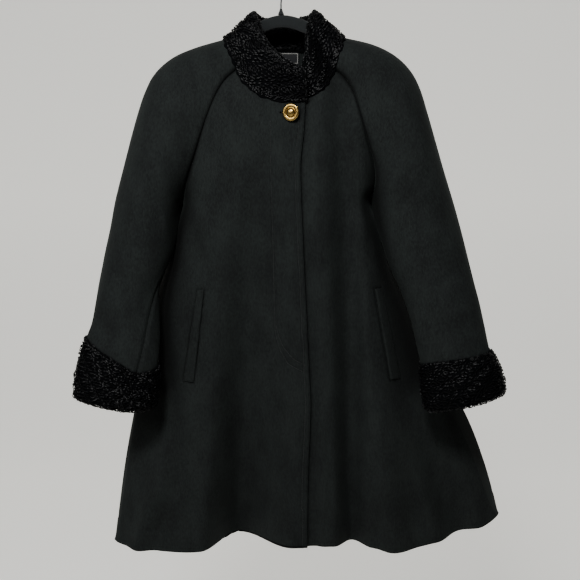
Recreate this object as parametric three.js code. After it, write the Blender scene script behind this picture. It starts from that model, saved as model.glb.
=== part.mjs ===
// Raglan swing coat on a hanger, with a fur stand collar and turned-back fur cuffs.
// Millimetres, +Z up. The front faces -Y and +X is to the viewer's right.
// The origin is the inner crown of the hanger's hook. Right and left are the wearer's.
import * as THREE from 'three';

// driving sizes
const wall = 3;
const seamGap = 0.3;
const hemZ = -1000;
const lapWidth = 55;
const lapTop = 5.5;
const lapHem = 12;
const furCollar = 6;
const furInside = 6;
const collarGap = 0.7;
const furCuff = 16;
const cuffGap = 0.4;
const cuffOverhang = 5;
const wireRadius = 1.5;
const hookRadius = 21;

// how finely each piece is cut up
const raglanRows = 10;
const sideRows = 18;
const lowerRows = 15;
const frontColumns = 18;
const backColumns = 18;
const sleeveColumns = 8;

const cloth = { color: 0x171a19, roughness: 0.95, metalness: 0 };
const fur = { color: 0x08080a, roughness: 0.7, metalness: 0 };
const brass = { color: 0xa88f4e, roughness: 0.25, metalness: 1 };
const velvet = { color: 0x0b0b0d, roughness: 0.9, metalness: 0 };
const steel = { color: 0x3a3a3c, roughness: 0.35, metalness: 1 };
const satin = { color: 0x2a2a2c, roughness: 0.5, metalness: 0 };

// a table with named columns, a row for each section
const table = (names, ...rows) => rows.map((row) => (
  Object.fromEntries(names.split(' ').map((name, k) => [name, row[k]]))));

// body sections: outline seen from the front, where front and back meet, and how deep each bows
const bodySections = table('z left right leftY rightY front back power',
  [-1010, -307, 408, 5, 38, 76, 80, 2.3],
  [-965, -301, 402, 5, 34, 77, 78, 2.2],
  [-860, -285, 370, 6, 24, 82, 74, 2.1],
  [-763, -266, 328, 9, 18, 88, 68, 2],
  [-679, -248, 270, 14, 17, 95, 60, 2],
  [-600, -234, 237, 19, 18, 101, 53, 2.1],
  [-534, -216, 210, 21, 19, 104, 50, 2.2],
  [-482, -197, 187, 19, 18, 103, 50, 2.3],
  [-437, -184, 171, 13, 12, 98, 54, 2.4],
  [-392, -168, 152, 0, 0, 86, 64, 2.4],
  [-359, -171, 166, 0, 0, 85, 65, 2.4],
  [-300, -172, 172, 0, 0, 82, 62, 2.4],
  [-226, -172, 172, 0, 0, 74, 56, 2.4],
  [-174, -172, 172, 0, 0, 50, 50, 2.4],
  [-120, -172, 172, 0, 0, 20, 40, 2.4]
);

// folds that run down the fronts and the back: a positive depth sinks in, a negative one stands out
const frontFolds = table('topX hemX leftW rightW depth startZ start growth',
  [-24, -80, 64, 102, 76, -240, 0.05, 1.5],
  [98, 127, 34, 36, 30, -190, 0.2, 1.1],
  [118, 196, 34, 52, -16, -240, 0.2, 1.3],
  [190, 325, 46, 52, 26, -620, 0, 1.2],
  [-150, -262, 26, 40, -14, -700, 0, 1.2]
);
const backFolds = table('topX hemX leftW rightW depth startZ start growth',
  [-60, -170, 70, 70, 44, -260, 0.05, 1.5],
  [20, 30, 80, 74, 52, -300, 0.03, 1.6],
  [90, 240, 74, 70, 46, -280, 0.05, 1.5]
);

// raglan seam and the overarm line beside it, a row for each height from the neck to the armpit
const raglanOfRight = table('seamX seamZ overX overY overZ front back',
  [-72, -174, -95, -5, -123, 44, 44],
  [-93, -194, -142, -5, -136, 52, 50],
  [-108, -220, -181, -5, -153, 59, 55],
  [-121, -251, -210, -5, -178, 62, 58],
  [-132, -282, -228, -6, -209, 64, 61],
  [-143, -315, -241, -8, -244, 66, 62],
  [-154, -345, -253, -10, -284, 68, 62],
  [-163, -371, -262, -12, -318, 69, 62],
  [-168, -392, -270, -14, -346, 68, 60]
);
const raglanOfLeft = table('seamX seamZ overX overY overZ front back',
  [88, -174, 106, -5, -120, 44, 44],
  [104, -188, 152, -5, -131, 52, 50],
  [117, -208, 189, -5, -149, 59, 55],
  [126, -233, 216, -5, -174, 62, 58],
  [135, -263, 233, -6, -204, 64, 61],
  [146, -299, 246, -8, -243, 66, 62],
  [155, -329, 258, -10, -282, 68, 62],
  [157, -360, 269, -12, -319, 69, 62],
  [152, -392, 278, -14, -350, 68, 60]
);

// the sleeves below the armpit: inner line, overarm line, half depths, how far the underarm seam is turned
// to the front, in degrees, and how far the cloth hangs down beside it
const sleeveOfRight = table('inX inY inZ overX overY overZ front back turn drop',
  [-168, 0, -392, -270, -14, -346, 68, 60, 0, 0],
  [-175, -14, -422, -279, -18, -383, 65, 57, 0, 0],
  [-179, -25, -454, -287, -26, -428, 59, 52, 0, 0],
  [-186, -35, -482, -296, -35, -468, 53, 47, 0, 0],
  [-197, -43, -508, -303, -43, -504, 48, 43, 5, 0],
  [-206, -50, -534, -308, -50, -532, 43, 40, 20, 4],
  [-206, -58, -568, -312, -58, -560, 39, 37, 40, 12],
  [-205, -68, -610, -317, -68, -590, 36, 35, 54, 24],
  [-208, -78, -650, -325, -78, -616, 35, 34, 62, 32],
  [-214, -86, -687, -332, -86, -663, 34, 34, 65, 22],
  [-219, -92, -723, -337, -92, -706, 34, 34, 65, 6]
);
const sleeveOfLeft = table('inX inY inZ overX overY overZ front back turn drop',
  [152, 0, -392, 278, -14, -350, 68, 60, 0, 0],
  [161, -14, -425, 290, -18, -388, 65, 57, 0, 0],
  [172, -28, -462, 302, -28, -432, 59, 52, 0, 0],
  [184, -40, -500, 313, -40, -478, 53, 47, 0, 0],
  [200, -51, -534, 323, -51, -520, 48, 43, 0, 2],
  [214, -61, -567, 332, -61, -556, 43, 40, 0, 6],
  [224, -70, -597, 340, -70, -593, 39, 37, 0, 14],
  [233, -80, -628, 347, -80, -629, 36, 35, 0, 25],
  [240, -88, -655, 353, -88, -650, 35, 34, 0, 27],
  [245, -96, -689, 358, -96, -672, 34, 34, 0, 18],
  [249, -102, -720, 362, -102, -698, 34, 34, 0, 8]
);

// the edge of the front that laps over, and the hem's height across the coat
const overEdge = table('z x',
  [-1000, 46], [-840, 46], [-719, 50], [-659, 47], [-511, 39], [-404, 34], [-327, 32], [-276, 37],
  [-226, 40]
);
const hemLine = table('x z',
  [-320, -1006], [-170, -1009], [-90, -1001], [45, -998], [120, -999], [215, -1009], [270, -1002],
  [340, -990], [410, -965]
);
const neckFront = { z: -227, sag: 24, bias: 0.75 };
const neckBack = { rise: 42, sag: 4 };

// the collar's upper edge, by the angle round the neck from the front centre
const neckCentre = { x: 5, y: -18 };
const collarTop = table('angle x y z',
  [-395, -16, -56, -186], [-345, 34, -62, -176], [-322, 41, -58, -150], [-300, 43, -47, -122],
  [-285, 47, -28, -94], [-268, 56, -8, -77], [-225, 44, 28, -81], [-180, 5, 41, -88],
  [-135, -33, 28, -83], [-92, -46, -8, -79], [-75, -38, -28, -95], [-60, -32, -46, -112],
  [-35, -22, -64, -133], [0, 3, -77, -160], [34, 34, -80, -177]
);
const collarProfile = table('height out',
  [0.14, 0.9], [0.45, 1], [0.8, 0.8], [0.98, 0.4], [0.98, -0.5], [0.8, -0.9], [0.45, -1], [0.14, -0.75]
);

// welts, by their corners on the front: upper inner, upper outer, lower inner, lower outer
const weltOfRight = { topIn: [-128, -534], topOut: [-141, -535], lowIn: [-149, -698], lowOut: [-169, -697] };
const weltOfLeft = { topIn: [157, -534], topOut: [170, -533], lowIn: [187, -694], lowOut: [206, -695] };
const weltThick = 2.2;
const weltGap = 0.8;

const buttonPlace = { x: 17.6, z: -245, turn: -0.35 };
const label = { x: 12, z: -148, width: 36, height: 20, thick: 0.8, gap: 0.7 };

// the hanger's upper edge from the middle to the tips, with its height and thickness there
const hangerLine = table('x z height thick',
  [-214, -195, 12, 6], [-199, -176, 14, 6], [-181, -160, 16, 7], [-142, -141, 18, 7], [-96, -130, 20, 8],
  [-60, -108, 21, 8], [-28, -89, 21, 8], [3, -82, 20, 8], [36, -89, 21, 8], [68, -106, 21, 8],
  [106, -127, 20, 8], [152, -136.5, 18, 7], [189, -156, 16, 7], [205, -171, 14, 6], [220, -191, 12, 6]
);

const vec = (x, y, z) => new THREE.Vector3(x, y, z);
const mix = THREE.MathUtils.lerp;
const clamp01 = (value) => Math.min(1, Math.max(0, value));
const smooth = (value) => THREE.MathUtils.smoothstep(value, 0, 1);

// smooth value of one column of a table, whose rows are sorted by another column
function lookup(table, key, at, column) {
  const last = table.length - 1;
  const value = Math.min(table[last][key], Math.max(table[0][key], at));
  let k = 0;
  while (k < last - 1 && value > table[k + 1][key]) k++;
  const slope = (i) => {
    const a = table[Math.max(0, i - 1)];
    const b = table[Math.min(last, i + 1)];
    return (b[column] - a[column]) / (b[key] - a[key]);
  };
  const width = table[k + 1][key] - table[k][key];
  const t = (value - table[k][key]) / width;
  const rise = table[k + 1][column] - table[k][column];
  const bend = (slope(k) * (1 - t) - slope(k + 1) * t) * width + rise * (2 * t - 1);
  return table[k][column] + rise * t + t * (1 - t) * bend;
}

// the same for tables whose rows are evenly spaced: row is a share of the whole table
const atRow = (table, share, column) => {
  const curve = table.map((row, index) => ({ index, value: row[column] }));
  return lookup(curve, 'index', share * (table.length - 1), 'value');
};

// depth of the vertical folds at a point: a cosine bump across, growing on its way to the hem
function foldDepth(folds, x, z) {
  let sum = 0;
  for (const fold of folds) {
    const down = clamp01((fold.startZ - z) / (fold.startZ - hemZ));
    const offset = x - mix(fold.topX, fold.hemX, down);
    const across = Math.min(1, Math.abs(offset) / (offset < 0 ? fold.leftW : fold.rightW));
    const grown = fold.start + (1 - fold.start) * down ** fold.growth;
    const started = smooth((fold.startZ + 40 - z) / 60);
    sum += fold.depth * grown * started * Math.cos(across * Math.PI / 2) ** 2;
  }
  return sum;
}

// y of the body's front (side -1) or back (side 1): a rounded section with its folds
function bodyY(x, z, side) {
  const left = lookup(bodySections, 'z', z, 'left');
  const right = lookup(bodySections, 'z', z, 'right');
  const share = Math.abs((2 * x - left - right) / (right - left));
  const power = lookup(bodySections, 'z', z, 'power');
  const round = share < 1 ? (1 - share ** power) ** (1 / power) : 0;
  const sideY = mix(lookup(bodySections, 'z', z, 'leftY'), lookup(bodySections, 'z', z, 'rightY'),
    clamp01((x - left) / (right - left)));
  const depth = lookup(bodySections, 'z', z, side < 0 ? 'front' : 'back');
  const fold = foldDepth(side < 0 ? frontFolds : backFolds, x, z) * smooth((1 - share) / 0.16);
  return sideY + side * depth * round - side * fold;
}

// how far the front underneath is set back behind the one that laps over
function lapDepth(x, z) {
  const down = clamp01((-226 - z) / (-226 - hemZ));
  const edge = lookup(overEdge, 'z', z, 'x');
  return mix(lapTop, lapHem, down) * smooth((edge + 30 - x) / 30);
}

// a panel is a grid of outer points with their outward directions; rows run down, columns across
function makePanel(name, rows, columns, facing, pointAt) {
  const points = [];
  for (let i = 0; i <= rows; i++) {
    points.push(Array.from({ length: columns + 1 }, (_, j) => pointAt(i, j)));
  }
  const pick = (i, j) => points[Math.min(rows, Math.max(0, i))][Math.min(columns, Math.max(0, j))];
  const normals = points.map((line, i) => line.map((_, j) => {
    const across = pick(i, j + 1).clone().sub(pick(i, j - 1));
    return across.cross(pick(i + 1, j).clone().sub(pick(i - 1, j))).normalize();
  }));
  const middle = normals[rows >> 1][columns >> 1];
  const turned = middle.dot(facing) < 0;
  if (turned) normals.flat().forEach((n) => n.negate());
  const shifts = points.map((line) => line.map(() => vec(0, 0, 0)));
  return { name, rows, columns, points, normals, shifts, turned };
}

const edgeOf = (panel, column, from, to) => Array.from({ length: to - from + 1 }, (_, k) => ({
  panel, row: from + k, column, inner: column === 0 ? 1 : column - 1,
}));

// two edges that meet: their points part by the seam gap and share one direction for the wall
function sew(edgeA, edgeB) {
  edgeA.forEach((a, k) => {
    const b = edgeB[k];
    const inward = ({ panel, row, column, inner }) =>
      panel.points[row][inner].clone().sub(panel.points[row][column]).normalize();
    const apart = inward(a).sub(inward(b)).normalize().multiplyScalar(seamGap / 2 + 0.02);
    a.panel.shifts[a.row][a.column].add(apart);
    b.panel.shifts[b.row][b.column].sub(apart);
    const shared = a.panel.normals[a.row][a.column].clone().add(b.panel.normals[b.row][b.column]).normalize();
    a.panel.normals[a.row][a.column] = shared;
    b.panel.normals[b.row][b.column] = shared.clone();
  });
}

// a closed mesh from rings of points that run the same way; the ends are closed by fans, and from one
// span on the squares are split along their other diagonal
function loftMesh(name, rings, closed, look, otherFrom = Infinity) {
  const around = rings[0].length;
  const position = rings.flat().flatMap((p) => [p.x, p.y, p.z]);
  const index = [];
  const spans = closed ? rings.length : rings.length - 1;
  for (let i = 0; i < spans; i++) {
    for (let j = 0; j < around; j++) {
      const a = i * around + j;
      const b = i * around + (j + 1) % around;
      const c = ((i + 1) % rings.length) * around + (j + 1) % around;
      const d = ((i + 1) % rings.length) * around + j;
      if (i < otherFrom) index.push(a, b, c, a, c, d);
      else index.push(a, b, d, b, c, d);
    }
  }
  if (!closed) {
    const lastRing = (rings.length - 1) * around;
    for (let j = 1; j < around - 1; j++) {
      index.push(0, j + 1, j, lastRing, lastRing + j, lastRing + j + 1);
    }
  }
  return solidMesh(name, position, index, look);
}

function solidMesh(name, position, index, look) {
  let volume = 0;
  const corner = (k) => vec(position[3 * k], position[3 * k + 1], position[3 * k + 2]);
  for (let k = 0; k < index.length; k += 3) {
    volume += corner(index[k]).dot(corner(index[k + 1]).cross(corner(index[k + 2])));
  }
  if (volume < 0) {
    for (let k = 0; k < index.length; k += 3) [index[k], index[k + 1]] = [index[k + 1], index[k]];
  }
  const geometry = new THREE.BufferGeometry();
  geometry.setAttribute('position', new THREE.Float32BufferAttribute(position, 3));
  geometry.setIndex(index);
  geometry.computeVertexNormals();
  const mesh = new THREE.Mesh(geometry, new THREE.MeshStandardMaterial(look));
  mesh.name = name;
  return mesh;
}

// a panel's closed wall: outer points, inner points a wall's thickness in, and the rim between
function panelMesh(panel, look, thickness = wall, lift = 0) {
  const { rows, columns, points, normals, shifts } = panel;
  const width = columns + 1;
  const layer = (depth) => points.flatMap((line, i) => line.map((p, j) =>
    p.clone().add(shifts[i][j]).addScaledVector(normals[i][j], lift - depth)));
  const outer = layer(0);
  const position = [...outer, ...layer(thickness)].flatMap((p) => [p.x, p.y, p.z]);
  const offset = outer.length;
  const index = [];
  const quad = (a, b, c, d) => index.push(a, b, c, a, c, d);
  for (let i = 0; i < rows; i++) {
    for (let j = 0; j < columns; j++) {
      const a = i * width + j;
      quad(a, a + 1, a + width + 1, a + width);
      quad(offset + a, offset + a + width, offset + a + width + 1, offset + a + 1);
    }
  }
  for (let j = 0; j < columns; j++) {
    const low = rows * width + j;
    quad(j, offset + j, offset + j + 1, j + 1);
    quad(low, low + 1, offset + low + 1, offset + low);
  }
  for (let i = 0; i < rows; i++) {
    const a = i * width;
    const b = a + columns;
    quad(a, a + width, offset + a + width, offset + a);
    quad(b, offset + b, offset + b + width, b + width);
  }
  return solidMesh(panel.name, position, index, look);
}

// the seam line of a sleeve at a share of the raglan's length, on the front (-1) or the back (1)
function raglanPoint(raglan, share, side) {
  const x = atRow(raglan, share, 'seamX');
  const lift = side > 0 ? neckBack.rise * (1 - share) ** 1.6 : 0;
  const z = atRow(raglan, share, 'seamZ') + lift;
  const y = share === 1 ? 0 : bodyY(x, z, side);
  return vec(x, y, z);
}
const overPoint = (table, share) =>
  vec(atRow(table, share, 'overX'), atRow(table, share, 'overY'), atRow(table, share, 'overZ'));
const innerPoint = (table, share) =>
  vec(atRow(table, share, 'inX'), atRow(table, share, 'inY'), atRow(table, share, 'inZ'));

// half a sleeve: each row is part of an ellipse from the raglan or underarm line to the overarm line
function sleevePanel(name, raglan, sleeve, side) {
  const facing = vec(0, side, 0);
  return makePanel(name, raglanRows + lowerRows, sleeveColumns, facing, (i, j) => {
    const above = i <= raglanRows;
    const share = above ? i / raglanRows : (i - raglanRows) / lowerRows;
    const table = above ? raglan : sleeve;
    const from = above ? raglanPoint(raglan, share, side) : innerPoint(sleeve, share);
    const to = overPoint(table, share);
    const reach = Math.max(0, side * (from.y - to.y));
    const depth = Math.max(atRow(table, share, side < 0 ? 'front' : 'back'), reach);
    const start = -Math.acos(Math.min(1, reach / depth));
    const turn = above ? 0 : THREE.MathUtils.degToRad(atRow(sleeve, share, 'turn'));
    const angle = mix(start - side * turn, Math.PI / 2, j / sleeveColumns);
    const sunk = Math.sin(start);
    const middleX = (from.x - to.x * sunk) / (1 - sunk);
    const middleZ = (from.z - to.z * sunk) / (1 - sunk);
    const low = mix(from.y - side * reach, to.y, clamp01((Math.sin(angle) - sunk) / (1 - sunk)));
    const bow = Math.cos(angle) < 0 ? atRow(table, share, 'front') : depth;
    const drop = above ? 0 : atRow(sleeve, share, 'drop') * (1 - j / sleeveColumns) ** (side < 0 ? 1.4 : 2.3);
    return vec(mix(middleX, to.x, Math.sin(angle)), low + side * bow * Math.cos(angle),
      mix(middleZ, to.z, Math.sin(angle)) - drop);
  });
}

// the side of the body at a row: down the raglan seam, then down the side seam to the hem
function bodySide(row, raglan, column, side) {
  if (row <= raglanRows) return raglanPoint(raglan, row / raglanRows, side);
  const armpit = raglan[raglan.length - 1];
  const share = (row - raglanRows) / sideRows;
  const end = lookup(hemLine, 'x', column === 'left' ? -306 : 405, 'z');
  const z = mix(armpit.seamZ, end, share);
  return vec(lookup(bodySections, 'z', z, column), lookup(bodySections, 'z', z, column + 'Y'), z);
}

// a front: rows run from the side to the edge, the first along the neckline, the last along the hem
function frontPanel(name, raglan, column, under) {
  const rows = raglanRows + sideRows;
  return makePanel(name, rows, frontColumns, vec(0, -1, 0), (i, j) => {
    const across = j / frontColumns;
    const from = bodySide(i, raglan, column, -1);
    const edgeZ = mix(neckFront.z, hemZ, i / rows);
    const edgeX = lookup(overEdge, 'z', edgeZ, 'x') - (under ? lapWidth : 0);
    if (j === 0) return from;
    const x = mix(from.x, edgeX, across ** 1.15);
    const sag = neckFront.sag * Math.sin(Math.PI * across ** neckFront.bias) * (1 - i / rows) ** 4;
    const straight = mix(from.z, edgeZ, across) - sag;
    const low = (i / rows) ** 6;
    const z = mix(straight, lookup(hemLine, 'x', x, 'z'), low);
    return vec(x, bodyY(x, z, -1) + (under ? lapDepth(x, z) : 0), z);
  });
}

function backPanel() {
  const rows = raglanRows + sideRows;
  return makePanel('back', rows, backColumns, vec(0, 1, 0), (i, j) => {
    const left = bodySide(i, raglanOfRight, 'left', 1);
    const right = bodySide(i, raglanOfLeft, 'right', 1);
    if (j === 0) return left;
    if (j === backColumns) return right;
    const turn = Math.PI * 0.43;
    const across = 0.5 + 0.5 * Math.sin((2 * j / backColumns - 1) * turn) / Math.sin(turn);
    const x = mix(left.x, right.x, across);
    const sag = neckBack.sag * Math.sin(Math.PI * across) * (1 - i / rows) ** 4;
    const low = (i / rows) ** 6;
    const z = mix(mix(left.z, right.z, across) - sag, lookup(hemLine, 'x', x, 'z'), low);
    return vec(x, bodyY(x, z, 1), z);
  });
}

const frontRight = frontPanel('front_right', raglanOfRight, 'left', false);
const frontLeft = frontPanel('front_left', raglanOfLeft, 'right', true);
const back = backPanel();
const sleeves = {
  right: {
    front: sleevePanel('sleeve_front_right', raglanOfRight, sleeveOfRight, -1),
    back: sleevePanel('sleeve_back_right', raglanOfRight, sleeveOfRight, 1),
  },
  left: {
    front: sleevePanel('sleeve_front_left', raglanOfLeft, sleeveOfLeft, -1),
    back: sleevePanel('sleeve_back_left', raglanOfLeft, sleeveOfLeft, 1),
  },
};

// seams: raglan front and back, side, underarm and overarm, on each side of the coat
const lastBody = raglanRows + sideRows;
const lastSleeve = raglanRows + lowerRows;
const sides = [[sleeves.right, frontRight, 0], [sleeves.left, frontLeft, backColumns]];
for (const [pair, front, backColumn] of sides) {
  sew(edgeOf(front, 0, 0, raglanRows), edgeOf(pair.front, 0, 0, raglanRows));
  sew(edgeOf(back, backColumn, 0, raglanRows), edgeOf(pair.back, 0, 0, raglanRows));
  sew(edgeOf(front, 0, raglanRows, lastBody), edgeOf(back, backColumn, raglanRows, lastBody));
  sew(edgeOf(pair.front, 0, raglanRows, lastSleeve), edgeOf(pair.back, 0, raglanRows, lastSleeve));
  sew(edgeOf(pair.front, sleeveColumns, 0, lastSleeve), edgeOf(pair.back, sleeveColumns, 0, lastSleeve));
  // at the armpit four corners meet, and their walls all rise straight up
  for (const [panel, column] of [[front, 0], [back, backColumn], [pair.front, 0], [pair.back, 0]]) {
    panel.normals[raglanRows][column] = vec(0, 0, -1);
  }
}

// cuff: a thick ring round the sleeve's end, worked out from the sleeve's own points
function cuffMesh(name, pair, cuffRows) {
  const first = lastSleeve - cuffRows;
  const plump = (row) => 0.36 + 0.44 * Math.sin(Math.PI * 0.62 * (row - first) / cuffRows);
  const stations = [];
  for (let j = 0; j <= sleeveColumns; j++) stations.push([pair.front, j]);
  for (let j = sleeveColumns - 1; j > 0; j--) stations.push([pair.back, j]);
  const rings = stations.map(([panel, j]) => {
    const place = (row, out) => panel.points[row][j].clone().addScaledVector(panel.normals[row][j], out);
    const end = panel.points[lastSleeve][j];
    const down = end.clone().sub(panel.points[lastSleeve - 1][j]).normalize().multiplyScalar(cuffOverhang);
    const inside = [];
    const outside = [];
    for (let row = first; row <= lastSleeve; row++) {
      inside.push(place(row, cuffGap));
      outside.unshift(place(row, cuffGap + furCuff * plump(row)));
    }
    inside.push(place(lastSleeve, cuffGap).add(down), place(lastSleeve, furCuff * 0.6).add(down));
    return [...inside, ...outside];
  });
  return loftMesh(name, rings, true, fur, sleeveColumns);
}

// collar: a thick band that stands on the neckline and leans to its upper edge
function collarMesh() {
  const topRow = (panel, backwards) => {
    const row = panel.points[0].map((point, j) => ({
      point, normal: panel.normals[0][j], rise: point.clone().sub(panel.points[1][j]).normalize(),
    }));
    return backwards ? row.reverse() : row;
  };
  const rows = [
    topRow(frontRight, true), topRow(sleeves.right.front, false), topRow(sleeves.right.back, true),
    topRow(back, false), topRow(sleeves.left.back, false), topRow(sleeves.left.front, true),
    topRow(frontLeft, false),
  ];
  const stations = rows.flatMap((row, k) => (k === 0 ? row : row.slice(1)));
  const firstLeft = stations.length - frontColumns - 1;
  let previous = null;
  const placed = stations.map(({ point, normal, rise }, k) => {
    let angle = THREE.MathUtils.radToDeg(Math.atan2(point.x - neckCentre.x, -(point.y - neckCentre.y)));
    while (previous !== null && angle > previous + 90) angle -= 360;
    previous = angle;
    const base = point.clone().addScaledVector(normal, -wall / 2).addScaledVector(rise, collarGap);
    const edge = lookup(overEdge, 'z', point.z, 'x');
    const tucked = k > firstLeft ? smooth((edge + 18 - point.x) / 15) * (furCollar + furInside + 1.5) : 0;
    base.y += tucked;
    const top = vec(0, 0, 0);
    for (const axis of ['x', 'y', 'z']) top[axis] = lookup(collarTop, 'angle', angle, axis);
    return { base, top, normal };
  });
  const rings = placed.map(({ base, top, normal }, k) => {
    const before = placed[Math.max(0, k - 1)].base;
    const after = placed[Math.min(placed.length - 1, k + 1)].base;
    const lean = top.clone().sub(base);
    const out = after.clone().sub(before).cross(lean).normalize();
    if (out.dot(normal) < 0) out.negate();
    const ring = collarProfile.map(({ height, out: share }) =>
      base.clone().addScaledVector(lean, height).addScaledVector(out, share * furCollar));
    ring.unshift(base.clone().addScaledVector(normal, 0.9 * furCollar));
    ring.push(base.clone().addScaledVector(normal, -0.5 * furInside));
    return ring;
  });
  return loftMesh('collar', rings, false, fur);
}

function weltMesh(name, corners) {
  const at = (s, t) => {
    const [x, z] = [0, 1].map((k) => mix(
      mix(corners.topIn[k], corners.topOut[k], s), mix(corners.lowIn[k], corners.lowOut[k], s), t));
    return vec(x, bodyY(x, z, -1), z);
  };
  const panel = makePanel(name, 10, 2, vec(0, -1, 0), (i, j) => at(j / 2, i / 10));
  return panelMesh(panel, cloth, weltThick, weltGap + weltThick);
}

function labelMesh() {
  const panel = makePanel('neck_label', 2, 3, vec(0, -1, 0), (i, j) => {
    const x = label.x + label.width * (j / 3 - 0.5);
    const z = label.z - label.height * (i / 2 - 0.5);
    return vec(x, bodyY(x, z, 1) - wall, z);
  });
  return panelMesh(panel, satin, label.thick, label.gap + label.thick);
}

// button: rim, ring groove and dome, with a shank behind
function buttonMesh() {
  const profile = [
    [0, 0], [3, 0], [3, 3], [12.4, 3], [13.8, 3.8], [13.8, 4.8], [12.6, 5.8], [8.8, 5.4],
    [8.1, 4.2], [7.3, 4.8], [6.2, 7], [3.6, 8.6], [0, 9.1],
  ].map(([radius, height]) => new THREE.Vector2(radius, height));
  const geometry = new THREE.LatheGeometry(profile, 28);
  const mesh = new THREE.Mesh(geometry, new THREE.MeshStandardMaterial(brass));
  mesh.name = 'button';
  mesh.rotation.set(Math.PI, 0, buttonPlace.turn, 'ZYX');
  mesh.position.set(buttonPlace.x, bodyY(buttonPlace.x, buttonPlace.z, -1) - 1, buttonPlace.z);
  return mesh;
}

function hangerMesh() {
  const first = hangerLine[0].x;
  const last = hangerLine[hangerLine.length - 1].x;
  const spans = 34;
  const rings = [];
  for (let k = 0; k <= spans; k++) {
    const x = mix(first, last, k / spans);
    const top = lookup(hangerLine, 'x', x, 'z');
    const high = lookup(hangerLine, 'x', x, 'height') / 2;
    const thick = lookup(hangerLine, 'x', x, 'thick') / 2;
    rings.push([[1, 0.5], [0.5, 1], [-0.5, 1], [-1, 0.5], [-1, -0.5], [-0.5, -1], [0.5, -1], [1, -0.5]]
      .map(([a, b]) => vec(x, thick * a, top - high + high * b)));
  }
  return loftMesh('hanger', rings, false, velvet);
}

function ferruleMesh() {
  const profile = [[0, 0], [5.2, 0], [4.4, 3], [2.6, 7], [2.2, 10], [0, 10]]
    .map(([radius, height]) => new THREE.Vector2(radius, height));
  const mesh = new THREE.Mesh(new THREE.LatheGeometry(profile, 16), new THREE.MeshStandardMaterial(steel));
  mesh.name = 'ferrule';
  mesh.rotation.x = Math.PI / 2;
  mesh.position.set(0, 0, -81.7);
  return mesh;
}

// hook: a wire that rises from the ferrule and goes round most of a circle about a rail
function hookMesh() {
  const ring = hookRadius + wireRadius;
  const stem = [vec(0, 0, -71.3), vec(0, 0, -62), vec(2, 0, -53), vec(8.5, 0, -45)];
  const arc = [-50, -20, 10, 40, 65, 90, 115, 140, 165, 190].map((degrees) => {
    const angle = THREE.MathUtils.degToRad(degrees);
    return vec(ring * Math.cos(angle), 0, ring * Math.sin(angle) - hookRadius);
  });
  const path = new THREE.CatmullRomCurve3([...stem, ...arc], false, 'centripetal');
  const section = new THREE.Shape();
  section.absarc(0, 0, wireRadius, 0, 2 * Math.PI, false);
  const geometry = new THREE.ExtrudeGeometry(section, { steps: 40, curveSegments: 4, extrudePath: path });
  const mesh = new THREE.Mesh(geometry, new THREE.MeshStandardMaterial(steel));
  mesh.name = 'hook';
  return mesh;
}

const coat = new THREE.Group();
coat.add(
  panelMesh(frontRight, cloth), panelMesh(frontLeft, cloth), panelMesh(back, cloth),
  panelMesh(sleeves.right.front, cloth), panelMesh(sleeves.right.back, cloth),
  panelMesh(sleeves.left.front, cloth), panelMesh(sleeves.left.back, cloth),
  cuffMesh('cuff_right', sleeves.right, 3), cuffMesh('cuff_left', sleeves.left, 4), collarMesh(),
  weltMesh('welt_right', weltOfRight), weltMesh('welt_left', weltOfLeft),
  buttonMesh(), labelMesh(), hangerMesh(), ferruleMesh(), hookMesh(),
);

export default coat;
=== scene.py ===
import math
import bpy
import numpy as np
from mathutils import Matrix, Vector
from mathutils.bvhtree import BVHTree


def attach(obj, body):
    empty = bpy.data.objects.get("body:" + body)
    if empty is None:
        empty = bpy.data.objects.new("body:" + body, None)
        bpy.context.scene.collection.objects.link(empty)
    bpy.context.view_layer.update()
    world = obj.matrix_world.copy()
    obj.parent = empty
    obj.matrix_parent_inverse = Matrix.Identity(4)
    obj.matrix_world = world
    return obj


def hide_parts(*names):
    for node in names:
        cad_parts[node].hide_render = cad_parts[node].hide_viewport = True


# A black wool swing coat with raglan sleeves on a hanger, with a fur collar and fur cuffs.
# Sizes and tables are in millimetres in the part's frame; meshes are made in metres.
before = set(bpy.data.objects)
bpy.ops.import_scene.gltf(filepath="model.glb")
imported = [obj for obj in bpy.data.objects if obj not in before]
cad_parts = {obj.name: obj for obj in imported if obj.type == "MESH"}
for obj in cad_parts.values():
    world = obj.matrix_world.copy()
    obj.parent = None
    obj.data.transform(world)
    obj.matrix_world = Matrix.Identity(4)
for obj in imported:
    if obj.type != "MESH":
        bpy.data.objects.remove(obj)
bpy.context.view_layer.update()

metre = 0.001
wall = 3.0


# a table with named columns, a row for each section
def table(names, *rows):
    return dict(zip(names.split(), np.array(rows, float).T))


# body sections: outline seen from the front, where front and back meet, and how deep each bows
bodySections = table(
    "z left right leftY rightY front back power",
    (-1010, -307, 408, 5, 38, 76, 80, 2.3),
    (-965, -301, 402, 5, 34, 77, 78, 2.2),
    (-860, -285, 370, 6, 24, 82, 74, 2.1),
    (-763, -266, 328, 9, 18, 88, 68, 2),
    (-679, -248, 270, 14, 17, 95, 60, 2),
    (-600, -234, 237, 19, 18, 101, 53, 2.1),
    (-534, -216, 210, 21, 19, 104, 50, 2.2),
    (-482, -197, 187, 19, 18, 103, 50, 2.3),
    (-437, -184, 171, 13, 12, 98, 54, 2.4),
    (-392, -168, 152, 0, 0, 86, 64, 2.4),
    (-359, -171, 166, 0, 0, 85, 65, 2.4),
    (-300, -172, 172, 0, 0, 82, 62, 2.4),
    (-226, -172, 172, 0, 0, 74, 56, 2.4),
    (-174, -172, 172, 0, 0, 50, 50, 2.4),
    (-120, -172, 172, 0, 0, 20, 40, 2.4),
)

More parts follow.
